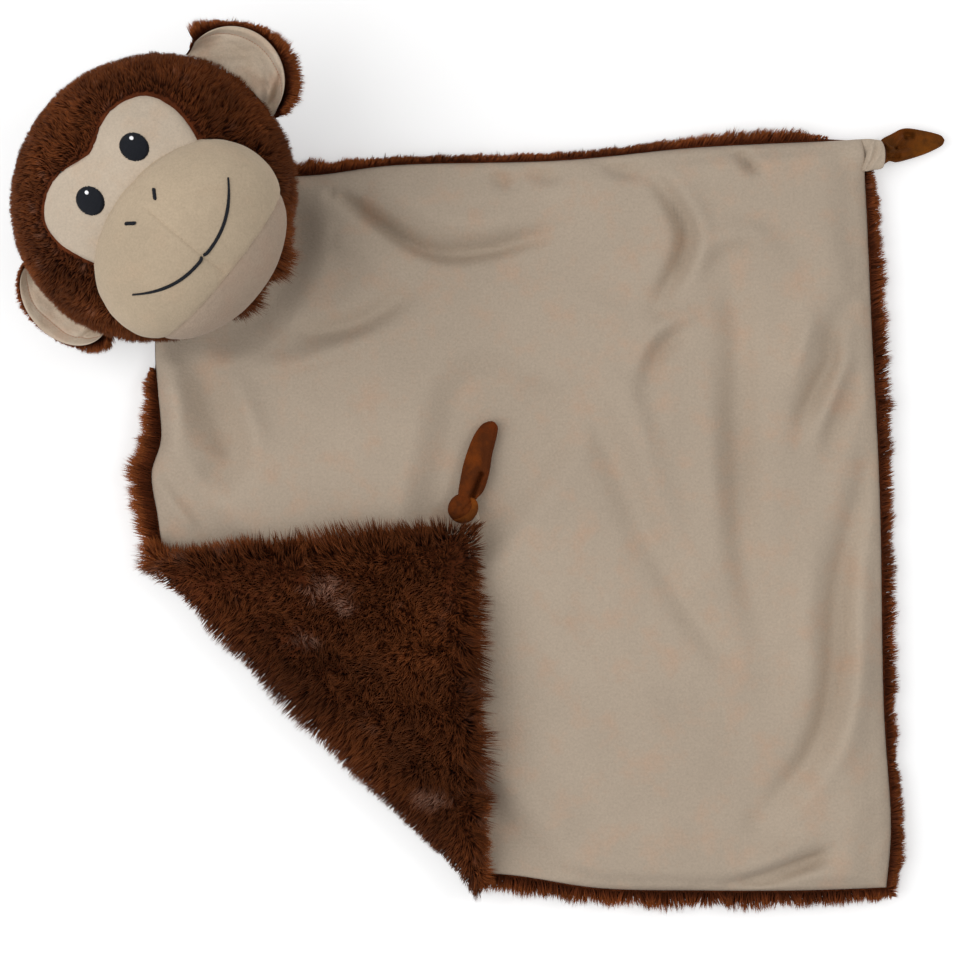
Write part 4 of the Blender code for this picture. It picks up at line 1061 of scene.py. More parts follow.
class LOVEY_OT_front_sheet(bpy.types.Operator):
    """The cream front sheet: velour with its folds, puckers at the seam and turned corner"""

    bl_idname = "lovey.front_sheet"
    bl_label = "Front Sheet"

    def execute(self, context):
        sizes = context.scene.lovey_blanket
        cells = round(BLANKET_SIDE / sizes.cloth_cell)
        kept = {}

        def upper(u, v):
            flat = flat_place(u, v)
            edge = np.minimum.reduce([u, 1 - u, v, 1 - v])
            held = smooth(-(past_crease(flat) + CALM_REACH / 2) / CALM_REACH)
            lift = wrinkle(flat, edge, sizes.fold_sag) + seam_pucker(flat, edge) * held
            lift += FLAP_SLACK * smooth(past_crease(flat) / FOLD_LENGTH)
            turned = rounded(1 - edge * BLANKET_SIDE / SHEET_RIM, 0.0, 1.0)
            from_cuff = (flat - CUFF_CORNER - CUFF_RISE_PLACE) / CUFF_RISE_REACH
            drawn_up = np.exp(-(from_cuff**2).sum(axis=1))
            lift = lift * turned * (1 - drawn_up) + CUFF_RISE * drawn_up
            kept.update(flat=flat, lift=lift)
            return laid(flat, CLOTH_GAP + lift + VELOUR_THICKNESS * (0.35 + 0.65 * turned))

        def lower(u, v):
            return laid(kept["flat"], CLOTH_GAP + kept["lift"])

        sheet = double_sheet("front_velour_sheet", cells, cells, upper, lower)
        map_cloth(sheet, kept["flat"])
        dress(sheet, "blanket", "cream velour of the blanket", ["blanket_front_velour"])
        return {"FINISHED"}


def rim_height(reach, roll, top):
    """The rolled edge's upper or lower face: how far off the common face it is at a distance past the seam."""
    share = np.clip(reach / roll, 0.0, 1.0)
    swell = np.where(share > 0, np.sqrt(np.clip(1 - share**2, 0.0, 1.0)), 0.0)
    middle = RIM_MIDDLE * smooth(share * 3)
    if top:
        return middle * smooth(share * 3) + RIM_RISE * swell * smooth(share * 4)
    return np.where(share > 0, middle - RIM_DROP * swell, -UNDER_FACE)


class LOVEY_OT_back_sheet(bpy.types.Operator):
    """The brown back sheet: the ground of the plush, with its edge rolled out past the seam"""

    bl_idname = "lovey.back_sheet"
    bl_label = "Back Sheet"

    def execute(self, context):
        roll = context.scene.lovey_blanket.edge_roll
        rings = [roll * share for share in RIM_SHARES]
        cells = 150
        kept = {}

        def upper(u, v):
            flat, edge, reach = kept["place"] = ringed_place(u, v, cells, rings)
            clear = smooth((np.linalg.norm(flat - HEAD_FLAT, axis=1) - CALM_REACH) / CALM_REACH)
            return laid(flat, rim_height(reach, roll, True) * clear)

        def lower(u, v):
            flat, edge, reach = kept["place"]
            lumps = 0.00045 * ripple(flat, 0.012, 31)
            return laid(flat, rim_height(reach, roll, False) + lumps * smooth(edge * 30))

        count = cells + 2 * len(rings)
        sheet = double_sheet("back_plush_sheet", count, count, upper, lower)
        map_cloth(sheet, kept["place"][0])
        dress(sheet, "blanket", "brown plush ground", ["blanket_back_plush"])
        return {"FINISHED"}


def cloth_axes(flat, off, step=0.0004):
    """The place of each point of the plush, the way out of it, and where the flat X and Y point there."""
    place = laid(flat, off)
    out = unit(laid(flat, off - step) - place)
    east = unit(laid(flat + [step, 0], off) - place)
    north = unit(laid(flat + [0, step], off) - place)
    return place, out, east, north


def edge_pull(across, up):
    """How strongly the pile leans out over each edge, in flat X and Y."""
    near = 0.05
    x = smooth(1 - (1 - across) / near) - smooth(1 - across / near)
    y = smooth(1 - (1 - up) / near) - smooth(1 - up / near)
    return np.column_stack([x, y])


def swayed(flat, scale, *seeds):
    """An uneven lean in flat X and Y."""
    return np.column_stack([ripple(flat, scale, seed) for seed in seeds])


def sheet_pile(flat, shares, off, length, lean, pull, seed, tuft):
    """Plush over places of the back sheet. lean(flat, across, up) is the way and the share it lies over by."""
    chance = np.random.default_rng(seed)
    place, out, east, north = cloth_axes(flat, np.full(len(flat), off))
    way = lean(flat, *shares.T)
    way += chance.normal(scale=0.16, size=way.shape)
    long = length * chance.uniform(0.72, 1.08, len(flat))
    over = np.linalg.norm(way, axis=1, keepdims=True)
    side = east * way[:, :1] + north * way[:, 1:]
    tips = place + unit(out + side) * long[:, None]
    tips = tufted(place, tips, tuft, pull * chance.uniform(0.6, 1.0, len(flat)), seed)
    return place, out + 0.3 * side * np.minimum(over, 1), tips, 0.42 + 0.10 * ripple(flat, 0.02, seed + 9)


# Places where the folded corner's pile is parted and its pale ground shows, in the frame, and their sizes
PARTED = [
    (-0.0996, -0.0306, 0.0095), (-0.1090, -0.0555, 0.0065), (-0.0455, -0.1320, 0.0085),
    (-0.0880, -0.0400, 0.0050),
]

# Along the crease from its upper end: where the pile hangs over further, over what length, and how much
CREASE_TUFTS = [(-0.012, 0.016, 0.10), (0.025, 0.014, 0.50), (0.073, 0.017, 0.72), (0.113, 0.020, 0.38)]
CREASE_ENDS = (-0.004, 0.192)


def crease_lengths(across, up):
    """How much longer the pile is at the edges and along the crease, where it hangs over in tufts."""
    flat = flat_place(across, up)
    along, past = (flat - CREASE) @ CREASE_WAY, past_crease(flat)
    more = 1 + sum(extra * bell(along - middle, reach) for middle, reach, extra in CREASE_TUFTS)
    more = 1 + (more - 1) * smooth(1 - (past - FOLD_LENGTH) / 0.012)
    more += 1.1 * smooth(1 - np.minimum(across, up) / 0.05)
    more *= 1 - 0.40 * sum(bell(along - end, 0.022) for end in CREASE_ENDS)
    corner = np.linalg.norm(flat - np.array(BOTTOM_EDGE[0]) * BLANKET_SIDE, axis=1)
    return more * (1 - 0.40 * bell(corner, 0.024))


class LOVEY_OT_flap_pile(bpy.types.Operator):
    """The plush of the folded corner, which flows over its edges"""

    bl_idname = "lovey.flap_pile"
    bl_label = "Folded Corner Plush"

    def execute(self, context):
        sizes = context.scene.lovey_blanket
        chance = np.random.default_rng(5)
        shares = chance.uniform(0, 1, (sizes.flap_strands * 4, 2)) * [0.92, 0.97]
        past = past_crease(flat_place(*shares.T))
        shares = shares[past > FOLD_LENGTH * FLAP_START][: sizes.flap_strands]

        def lean(flat, across, up):
            crease = smooth(1 - (past_crease(flat) - FOLD_LENGTH * 0.8) / 0.02)
            way = -CORNER_WAY * (0.45 + 0.9 * crease)[:, None]
            uneven = 0.012 * ripple(flat, 0.012, 43) + chance.normal(scale=0.006, size=len(across))
            way = way + 1.7 * edge_pull(np.maximum(across + uneven, 0), np.maximum(up + uneven, 0))
            return way + 0.45 * swayed(flat, 0.030, 41, 47) + 0.50 * swayed(flat, 0.009, 51, 57)

        lengths = sizes.pile_length * crease_lengths(*shares.T)
        flat = flat_place(*shares.T) + 0.0050 * edge_pull(*shares.T)
        roots, out, tips, tone = sheet_pile(flat, shares, -0.0040, lengths, lean, 0.40, 61, 0.0026)
        for x, y, size in PARTED:
            apart = np.hypot(roots[:, 0] - x, (roots[:, 1] - y) * 1.5)
            tone += 0.50 * bell(apart, 1.3 * size) * chance.uniform(0.4, 1.2, len(tone))
            tips[:, 2] -= 0.0026 * bell(apart, size)
        # Strands near the edges are made lighter: painted light through the hanging fur; the ripple adds random
        # tone
        tone += 0.10 * np.abs(edge_pull(*shares.T)).max(axis=1) + 0.10 * ripple(flat, 0.05, 63)
        width = chance.uniform(0.00030, 0.00052, len(roots))
        pile_pieces(
            "flap_pile", roots, out, tips, width, tone, 70, "blanket", "brown pile of the folded corner",
            PILE_FLOOR,
        )
        return {"FINISHED"}


class LOVEY_OT_under_pile(bpy.types.Operator):
    """The plush underneath, pressed flat by what it lies on"""

    bl_idname = "lovey.under_pile"
    bl_label = "Underside Plush"

    def execute(self, context):
        sizes = context.scene.lovey_blanket
        chance = np.random.default_rng(6)
        shares = chance.uniform(0, 1, (sizes.under_strands * 2, 2))
        flat = flat_place(*shares.T)
        chosen = np.linalg.norm(flat - CUFF_CORNER, axis=1) > CUFF_BARE
        chosen &= (shares[:, 0] > LEFT_BARE[0]) | (shares[:, 1] < LEFT_BARE[1])
        chosen &= past_crease(flat) < FOLD_LENGTH * FLAP_START
        shares = shares[chosen][: sizes.under_strands]

        def lean(flat, across, up):
            return 1.6 * swayed(flat, 0.05, 81, 87) + 2.2 * edge_pull(across, up)

        flat = flat_place(*shares.T)
        roots, out, tips, tone = sheet_pile(flat, shares, -0.0036, 0.0085, lean, 0.5, 91, 0.006)
        width = chance.uniform(0.0008, 0.0013, len(roots))
        pile_pieces(
            "under_pile", roots, out, tips, width, tone, 95, "blanket", "brown pile of the underside",
            PILE_FLOOR,
        )
        return {"FINISHED"}


# For each side: which share stays the same, across or up, and its value; the way out; how far the fringe leans
# along it, to the left as seen from inside; where it starts and ends; its part of the strands; and its lengths
FRINGE = {
    "top": (1, 1.0, (0.0, 1.0), -0.55, 0.02, 0.945, 0.25,
            [0.95, 1.00, 0.86, 0.46, 0.44, 0.40, 0.56, 0.95, 0.30]),
    "right": (0, 1.0, (1.0, 0.0), 0.35, -0.012, 0.945, 0.27,
              [0.62, 0.82, 0.58, 0.85, 0.85, 1.08, 1.0, 0.55, 0.12]),
    "bottom": (1, 0.0, (0.0, -1.0), 0.0, 0.035, 1.006, 0.26,
               [1.0, 1.0, 1.0, 1.1, 1.18, 1.1, 1.12, 1.05, 0.72]),
    "left": (0, 0.0, (-1.0, 0.0), -0.25, 0.035, 0.785, 0.24,
             [1.0, 1.0, 1.0, 1.45, 1.75, 1.45, 0.80, 0.10, 0.10]),
}


class LOVEY_OT_fringe_pile(bpy.types.Operator):
    """The plush that stands out all round the blanket's seam, in ragged tufts"""

    bl_idname = "lovey.fringe_pile"
    bl_label = "Fringe Plush"

    def execute(self, context):
        sizes = context.scene.lovey_blanket
        for number, (side, values) in enumerate(FRINGE.items()):
            fixed, edge, outwards, side_lean, start, end, part, lengths = values
            chance = np.random.default_rng(100 + number)
            count = int(sizes.fringe_strands * part)
            t = chance.uniform(start, end, count)
            shares = [np.clip(t, 0, 1), np.clip(t, 0, 1)]
            shares[fixed] = np.full(count, edge)
            over = (t - np.clip(t, 0, 1))[:, None] * BLANKET_SIDE
            sidelong = np.abs(np.array(outwards)[::-1])
            way = unit(np.tile(outwards, (count, 1)) + sidelong * over / 0.004)
            angle = chance.uniform(-0.42, 0.5, count) * math.pi
            flat = flat_place(*shares) + way * (sizes.edge_roll * (0.10 + 0.72 * np.cos(angle)))[:, None]
            flat = flat + sidelong * over * 0.5
            place, out, east, north = cloth_axes(flat, -0.0014 + 0.0030 * np.sin(angle))
            long = sizes.fringe_length * along_curve(np.array(lengths)[:, None], t)[:, 0]
            long = long * chance.uniform(0.55, 1.0, count) * (1 + 0.22 * ripple(flat, 0.016, 7 + number))
            if end < 1:
                long *= 0.35 + 0.65 * smooth((end - t) / FRINGE_TAPER)
            sway = side_lean + 0.45 * ripple(flat, 0.014, 120 + number) + chance.normal(scale=0.20, size=count)
            lean = way + np.column_stack([-way[:, 1], way[:, 0]]) * sway[:, None]
            outward = east * lean[:, :1] + north * lean[:, 1:]
            tips = place + unit(outward + out * (-0.75 * np.sin(angle))[:, None]) * long[:, None]
            tips = tufted(place, tips, 0.0038, 0.42 * chance.uniform(0.5, 1.0, count), 130 + number)
            tone = 0.46 + 0.12 * ripple(flat, 0.012, 140 + number)
            width = chance.uniform(0.00036, 0.00064, count)
            # This pile is lightened: painted backlight on the thin fringe
            pile_pieces(
                f"fringe_{side}", place, outward, tips, width, tone, 150 + number, "blanket",
                "brown pile of the fringe", PILE_FLOOR,
            )
        return {"FINISHED"}


class LOVEY_OT_stage(bpy.types.Operator):
    """The pale floor, the soft lamps and the camera that looks straight down"""

    bl_idname = "lovey.stage"
    bl_label = "Stage"

    def execute(self, context):
        stage = context.scene.lovey_stage
        scene = context.scene
        scene.view_settings.view_transform = "Standard"
        deselect()
        bpy.ops.mesh.primitive_grid_add(x_subdivisions=6, y_subdivisions=6, size=8)
        floor = named("floor")
        shade, tree, shader = new_material("pale floor", 0.0)
        colour = tuple(stage.floor_colour)
        grain = noise_in(tree, object_places(tree), 3.0, 3.0, 0.5)
        soft = mixed(tree, ranged(tree, grain, 0.3, 0.7, 0, 1), tinted(colour, 0.98), colour)
        tree.links.new(soft, shader.inputs["Base Color"])
        shader.inputs["Roughness"].default_value = 0.9
        shader.inputs["Emission Color"].default_value = (1, 1, 1, 1)
        seen = add_node(tree, "LightPath").outputs["Is Camera Ray"]
        tree.links.new(calculated(tree, "MULTIPLY", seen, FLOOR_GLOW), shader.inputs["Emission Strength"])
        floor.data.materials.append(shade)

        world = bpy.data.worlds.new("plain surroundings")
        world.use_nodes = True
        tree = world.node_tree
        back = tree.nodes["Background"]
        back.inputs["Color"].default_value = (1, 1, 1, 1)
        seen = add_node(tree, "LightPath")
        rays = calculated(tree, "MAXIMUM", seen.outputs["Is Camera Ray"], seen.outputs["Is Glossy Ray"])
        rays = calculated(tree, "MAXIMUM", rays, seen.outputs["Is Transmission Ray"])
        tree.links.new(ranged(tree, rays, 0, 1, stage.sky, 1.0), back.inputs["Strength"])
        scene.world = world

        for name, place, size, power in (
            ("window", (-1.50, -0.10, 1.70), 2.6, stage.window_power),
            ("fill", (1.35, 0.50, 1.60), 0.7, stage.fill_power),
        ):
            deselect()
            bpy.ops.object.light_add(type="AREA", location=place)
            lamp = bpy.context.active_object
            lamp.name = name
            lamp.data.shape = "DISK"
            lamp.data.size = size
            lamp.data.energy = power
            lamp.rotation_euler = (-Vector(place)).to_track_quat("-Z", "Y").to_euler()
        deselect()
        bpy.ops.object.camera_add(location=tuple(stage.camera_place), rotation=(0, 0, 0))
        camera = bpy.context.active_object
        camera.name = "camera"
        camera.data.sensor_width = 36
        camera.data.lens = stage.lens
        camera.data.clip_start = 0.01
        scene.camera = camera
        return {"FINISHED"}


# Head, made in its own axes and then put in its place


def head_half(inset):
    return np.array((HEAD_WIDTH / 2 - inset, HEAD_HEIGHT / 2 - inset, HEAD_DEPTH / 2 - inset))


def on_ball(half, centre, x, y, lift):
    """The front of an ellipsoid over places of the face, raised by lift, and the way out of it there."""
    px, py = (x - centre[0]) / half[0], (y - centre[1]) / half[1]
    pz = np.sqrt(np.clip(1.0 - px * px - py * py, 0.0, 1.0))
    way = unit(np.stack([px / half[0], py / half[1], pz / half[2]], axis=-1))
    place = np.stack([x + 0 * pz, y + 0 * pz, centre[2] + half[2] * pz], axis=-1)
    return place + way * np.asarray(lift)[..., None], way


def within(places, half, centre=(0.0, 0.0, 0.0)):
    """Under 1 inside the ellipsoid."""
    return np.sum(((places - np.asarray(centre)) / half) ** 2, axis=-1)


MASK_MIDDLE = np.array((0.0, HEAD_HEIGHT / 12))


def mask_outline():
    """The eye mask's edge on the face: two lobes with a dip between, and straight down behind the muzzle."""
    right = along_curve(MASK_EDGE, np.linspace(0, 1, 65)) * (HEAD_WIDTH / 2, HEAD_HEIGHT / 2)
    foot = (right[-1][0] - EYE_SIZE[0], MASK_FOOT_SHARE * HEAD_HEIGHT / 2)
    right = np.vstack([right, foot])
    return np.vstack([right, right[:0:-1] * (-1, 1)])


MASK_OUTLINE = mask_outline()


def outline_reach(angles):
    """How far the mask's edge is from its middle at each angle."""
    start = MASK_OUTLINE - MASK_MIDDLE
    run = np.roll(start, -1, axis=0) - start
    way = np.column_stack([np.cos(angles), np.sin(angles)])[:, None, :]
    across = way[..., 0] * run[:, 1] - way[..., 1] * run[:, 0]
    across = np.where(abs(across) < 1e-12, 1e-12, across)
    reach = (start[:, 0] * run[:, 1] - start[:, 1] * run[:, 0]) / across
    share = (start[:, 0] * way[..., 1] - start[:, 1] * way[..., 0]) / across
    met = (share >= -1e-6) & (share <= 1 + 1e-6) & (reach > 0)
    return np.where(met, reach, 0.0).max(axis=1)


def past_mask(places):
    """How far outside the mask's edge the places are, seen from the front; under 0 inside it."""
    flat = places[:, :2] - MASK_MIDDLE
    return np.linalg.norm(flat, axis=1) - outline_reach(np.arctan2(flat[:, 1], flat[:, 0]))


def to_head(obj):
    return into_place(obj, HEAD)


class LOVEY_OT_head_plush(bpy.types.Operator):
    """The ground of the head's brown panels: one round the face and two behind, which meet at a seam"""

    bl_idname = "lovey.head_plush"
    bl_label = "Head Panels"

    def execute(self, context):
        seam = -HEAD_SEAM_SETBACK
        gap = CLEARANCE / 2
        panels = {
            "front": [((0, 0, seam + gap), (0, 0, -1))],
            "back_left": [((0, 0, seam - gap), (0, 0, 1)), ((-gap, 0, 0), (1, 0, 0))],
            "back_right": [((0, 0, seam - gap), (0, 0, 1)), ((gap, 0, 0), (-1, 0, 0))],
        }
        for name, planes in panels.items():
            panel = add_ball(f"head_{name}_ground", head_half(GROUND_INSET), (0, 0, 0), 96, 64)
            places = corners_of(panel)
            lumps = 0.0004 * ripple(places, 0.02, 11)
            place_corners(panel, places * (1 + lumps / np.linalg.norm(places, axis=1))[:, None])
            for place, way in planes:
                cut(panel, place, way)
            if name == "front":
                places = corners_of(panel)
                hidden = (past_mask(places) < -0.004) & (places[:, 2] > 0)
                hidden |= within(places, MUZZLE_HALF - 0.004, MUZZLE_CENTRE) < 1
                remove_corners(panel, hidden)
            thicken(panel, 0.0008)
            dress(to_head(panel), "head", "brown plush ground", [f"head_{name}_plush"])
        return {"FINISHED"}


class LOVEY_OT_stuffing(bpy.types.Operator):
    """The fibre inside the head and the muzzle"""

    bl_idname = "lovey.stuffing"
    bl_label = "Stuffing"

    def execute(self, context):
        head = add_ball("head_stuffing", head_half(HEAD_PLUSH + 0.0008), (0, 0, 0), 64, 40)
        places = corners_of(head)
        place_corners(head, places * (1 - 0.006 * (1 + ripple(places, 0.03, 17)))[:, None])
        muzzle = add_ball("muzzle_stuffing", MUZZLE_HALF - 0.0024, MUZZLE_CENTRE, 56, 36)
        places = corners_of(muzzle)
        rim = head_half(HEAD_PLUSH)
        out = unit(places / rim**2)
        deep = within(places, rim) < 1
        raised = places / np.sqrt(np.maximum(within(places, rim), 1e-9))[:, None] + out * 0.0002
        place_corners(muzzle, np.where(deep[:, None], raised, places))
        tidy(muzzle)
        dress(to_head(head), "head", "white fibre filling", ["head_filling"])
        dress(to_head(muzzle), "head", "white fibre filling", ["muzzle_filling"])
        return {"FINISHED"}


class LOVEY_OT_face_mask(bpy.types.Operator):
    """The cream eye mask, turned down into its seam"""

    bl_idname = "lovey.face_mask"
    bl_label = "Eye Mask"

    def execute(self, context):
        def shape(u, v):
            angle = math.tau * u
            reach = outline_reach(angle)
            flat = MASK_MIDDLE + np.column_stack([np.cos(angle), np.sin(angle)]) * (reach * v)[:, None]
            inside = reach * (1 - v)
            sunk = 0.0011 * bell(inside, 0.0013) - 0.0003 * bell(inside - 0.004, 0.003)
            place, way = on_face(flat[:, 0], flat[:, 1], 0.0)
            return place - way * (sunk + 0.00018 * ripple(place, 0.016, 23))[:, None]

        mask = warped_grid("eye_mask", 176, 46, shape)
        thicken(mask, 0.0007)
        dress(to_head(mask), "head", "cream velour of the face", ["face_mask"])
        return {"FINISHED"}


CHIN_TILT = math.atan(CHIN_SEAM_SLOPE)
CHIN_PLACE = np.array((MUZZLE_SIDE, -CHIN_SEAM_DROP, 0.0))
CHIN_WAY = np.array((0.0, math.cos(CHIN_TILT), math.sin(CHIN_TILT)))
SEAM_SIDE = np.array((1.0, 0.0, 0.0))
SEAM_PLACE = np.array((MUZZLE_SIDE, 0.0, 0.0))


def seam_dip(places):
    """How far the stuffed muzzle's cloth is drawn in along its seams, and how it swells beside them."""
    above = (places - CHIN_PLACE) @ CHIN_WAY
    middle = np.abs(places[:, 0] - MUZZLE_SIDE)
    dip = 0.0008 * bell(above, 0.0010) + 0.0012 * bell(above, 0.006)
    centre = 0.0005 * bell(middle, 0.0008) + 0.0005 * bell(middle, 0.005)
    dip += centre * smooth(above / 0.003) * smooth(-(places[:, 1] + 0.006) / 0.010)
    round_edge = within(places, head_half(0.003))
    tuck = 0.0009 * bell(round_edge - 1.03, 0.05)
    pull = 0.00025 * ripple(places, 0.008, 29) * bell(above, 0.006)
    return dip + tuck + pull + 0.0002 * ripple(places, 0.02, 37)


class LOVEY_OT_muzzle(bpy.types.Operator):
    """The stuffed muzzle: two cheeks that meet at a middle seam, over a chin panel"""

    bl_idname = "lovey.muzzle"
    bl_label = "Muzzle"

    def execute(self, context):
        gap = 0.00002
        chin_cut = (CHIN_PLACE + CHIN_WAY * gap, -CHIN_WAY)
        panels = {
            "left": [(SEAM_PLACE - SEAM_SIDE * gap, SEAM_SIDE), chin_cut],
            "right": [(SEAM_PLACE + SEAM_SIDE * gap, -SEAM_SIDE), chin_cut],
            "chin": [(CHIN_PLACE - CHIN_WAY * gap, CHIN_WAY)],
        }
        for name, planes in panels.items():
            panel = add_ball(f"muzzle_{name}_panel", MUZZLE_HALF, MUZZLE_CENTRE, 144, 96)
            for place, way in ((SEAM_PLACE, SEAM_SIDE), (CHIN_PLACE, CHIN_WAY)):
                for off in SEAM_LOOPS:
                    cut(panel, place + way * off, way, clear=False)
            for place, way in planes:
                cut(panel, place, way)
            remove_corners(panel, within(corners_of(panel), head_half(HEAD_PLUSH)) < 1)
            places = corners_of(panel)
            out = unit((places - MUZZLE_CENTRE) / MUZZLE_HALF**2)
            place_corners(panel, places - out * seam_dip(places)[:, None])
            crisp_rim(thicken(panel, 0.0012))
            # The chin panel takes the darker velour, painted shade under the chin; the cheeks take the muzzle's,
            # partly painted shade
            cloth = "chin" if name == "chin" else "muzzle"
            dress(to_head(panel), "head", f"cream velour of the {cloth}", [f"muzzle_{name}"])
        return {"FINISHED"}


# Embroidery


def satin(name, lines, outs, radius):
    """Threads of satin stitch: tubes along lines of places, each with the way out of the cloth."""
    lines, outs = np.asarray(lines), np.asarray(outs)
    count, steps, _ = lines.shape
    along = unit(np.gradient(lines, axis=1))
    side = unit(np.cross(along, outs))
    up = np.cross(side, along)
    sides = 5
    angles = [math.tau * k / sides for k in range(sides)]
    rings = [lines + (side * math.cos(a) + up * math.sin(a) * THREAD_FLATNESS) * radius for a in angles]
    base = np.arange(count)[:, None] * steps * sides
    quads = []
    for start in range(0, (steps - 1) * sides, sides):
        for k in range(sides):
            after = (k + 1) % sides
            quads.append(base + [start + k, start + after, start + sides + after, start + sides + k])
    last = (steps - 1) * sides
    caps = [base + list(range(sides))[::-1], base + [last + k for k in range(sides)]]
    places = np.stack(rings, axis=2).reshape(-1, 3)
    return tidy(mesh_of(name, places, [np.concatenate(quads), np.concatenate(caps)]), 0)


def on_face(x, y, lift):
    """The face's velour over places seen from the front, raised by lift, and the way out of it."""
    return on_ball(head_half(FACE_PILE_RELIEF), (0, 0, 0), x, y, lift)


def padded_oval(name, sign, size, lift):
    """The raised bed under an eye's threads: a closed dome on the face."""
    def shape(u, v):
        angle = math.tau * u
        x = sign * EYE_PLACE[0] + size[0] / 2 * np.cos(angle) * v
        y = EYE_PLACE[1] + size[1] / 2 * np.sin(angle) * v
        return on_face(x, y, lift * np.sqrt(np.clip(1 - v**2, 0, 1)))[0]

    return thicken(warped_grid(name, 40, 10, shape), 0.0004)


def oval_threads(sign, size, offset, lift, count, steps, slant):
    """Lines of thread side by side over an oval off an eye's middle, and the way out along each."""
    across = (np.arange(count) + 0.5) / count * 2 - 1
    chance = np.random.default_rng(count)
    t = np.linspace(-1, 1, steps)[None, :] * np.sqrt(1 - across[:, None] ** 2)
    t = t * (1 + chance.uniform(0, 0.03, (count, 1)))
    a = across[:, None] + 0 * t
    c, s = math.cos(slant), math.sin(slant)
    x = sign * EYE_PLACE[0] + offset[0] + size[0] / 2 * (a * c - t * s)
    y = EYE_PLACE[1] + offset[1] + size[1] / 2 * (a * s + t * c)
    dome = np.sqrt(np.clip(1 - (a**2 + t**2) * 0.97, 0, 1))
    return on_face(x, y, lift * dome)


def stitch_row(points, width, spacing, slant, fade=0.001):
    """Short slanted stitches side by side along a line of the muzzle, narrower over its last part."""
    points = np.asarray(points)
    length = np.concatenate([[0], np.cumsum(np.linalg.norm(np.diff(points, axis=0), axis=1))])
    at = np.arange(spacing / 2, length[-1], spacing)
    middle = np.column_stack([np.interp(at, length, points[:, k]) for k in range(2)])
    way = unit(np.gradient(middle, axis=0))
    across = unit(np.column_stack([-way[:, 1], way[:, 0]]) + way * slant)
    ends = np.clip(np.minimum(at, length[-1] - at) / (width * 0.5), 0, 1)
    taper = 0.55 + 0.45 * np.sqrt(np.clip(1 - (1 - ends) ** 2, 0, 1))
    taper *= 1 - 0.55 * smooth(1 - (length[-1] - at) / fade)
    reach = width / 2 * taper * np.random.default_rng(len(at)).uniform(0.94, 1.04, len(at))
    t = np.linspace(-1, 1, 5)
    flat = middle[:, None, :] + across[:, None, :] * (t[None, :] * reach[:, None])[..., None]
    arch = STITCH_ARCH * (1 - 0.85 * t**2) + 0 * flat[..., 0]
    return on_ball(MUZZLE_HALF, MUZZLE_CENTRE, flat[..., 0], flat[..., 1], arch)


def mouth_line(sign):
    x = np.linspace(CLEARANCE, MOUTH_REACH, 60)
    share = x / MOUTH_REACH
    peak = MOUTH_STITCH * 0.6 * bell(x, MOUTH_STITCH)
    return np.column_stack([MUZZLE_SIDE + sign * x, -MOUTH_DROP + MOUTH_CURL * share**MOUTH_BEND + peak])


class LOVEY_OT_embroidery(bpy.types.Operator):
    """The eyes with their highlights, the nostrils and the smile, in satin stitch"""

    bl_idname = "lovey.embroidery"
    bl_label = "Embroidery"

    def execute(self, context):
        raised = STITCH_RAISE * 0.8
        for name, sign in (("right", 1), ("left", -1)):
            bed = padded_oval(f"eye_{name}_bed", sign, np.array(EYE_SIZE) * 0.97, raised)
            lines, outs = oval_threads(sign, EYE_SIZE, (0, 0), raised + 0.0001, 27, 9, 0.5)
            eye = satin(f"eye_{name}_threads", lines, outs, 0.00027)
            dress(to_head(eye), "head", "black thread", [f"eye_{name}"])
            dress(to_head(bed), "head", "black thread")
            size = (HIGHLIGHT_SIZE, HIGHLIGHT_SIZE * 1.25)
            lines, outs = oval_threads(sign, size, HIGHLIGHT_PLACE, STITCH_RAISE * 0.3, 7, 6, 0.2)
            spark = satin(f"eye_{name}_highlight", lines + outs * STITCH_RAISE * 0.95, outs, 0.00023)
            dress(to_head(spark), "head", "white thread", [f"eye_highlight_{name}"])

            way = np.array((-sign * math.cos(NOSTRIL_SLANT), -math.sin(NOSTRIL_SLANT)))
            middle = np.array((NOSTRIL_SIDE + sign * NOSTRIL_PLACE[0], NOSTRIL_PLACE[1]))
            line = middle + way * NOSTRIL_LENGTH / 2 * np.linspace(-1, 1, 12)[:, None]
            lines, outs = stitch_row(line, NOSTRIL_STITCH, 0.00042, 0.25)
            nostril = satin(f"nostril_{name}_threads", lines, outs, 0.00025)
            dress(to_head(nostril), "head", "black thread", [f"nostril_{name}"])

            lines, outs = stitch_row(mouth_line(sign), MOUTH_STITCH, 0.00045, 0.45, 0.016)
            mouth = satin(f"mouth_{name}_threads", lines, outs, 0.00027)
            dress(to_head(mouth), "head", "black thread", [f"mouth_{name}"])
        return {"FINISHED"}


def ball_places(count, seed):
    """Even places on a unit ball."""
    chance = np.random.default_rng(seed)
    z = chance.uniform(-1.0, 1.0, count)
    angle = chance.uniform(0, math.tau, count)
    flat = np.sqrt(1 - z**2)
    return np.column_stack([flat * np.cos(angle), flat * np.sin(angle), z])


def pile_on_head(places, out, lean, length):
    """Tips of strands on the head: out of it, leaning to its back by lean, drawn into tufts."""
    chance = np.random.default_rng(207)
    back = np.array((0.0, 0.0, -1.0)) + 0 * places
    along = unit(back - out * np.sum(back * out, axis=1, keepdims=True))
    side = np.cross(out, along)
    turn = 1.2 * ripple(places, 0.026, 208) + 0.8 * ripple(places, 0.010, 209)
    turn = turn + chance.normal(scale=0.25, size=len(places))
    flow = along * np.cos(turn)[:, None] + side * np.sin(turn)[:, None]
    tips = places + unit(out + flow * lean[:, None]) * length[:, None]
    return tufted(places, tips, 0.0027, 0.46 * chance.uniform(0.5, 1.0, len(places)), 210), flow


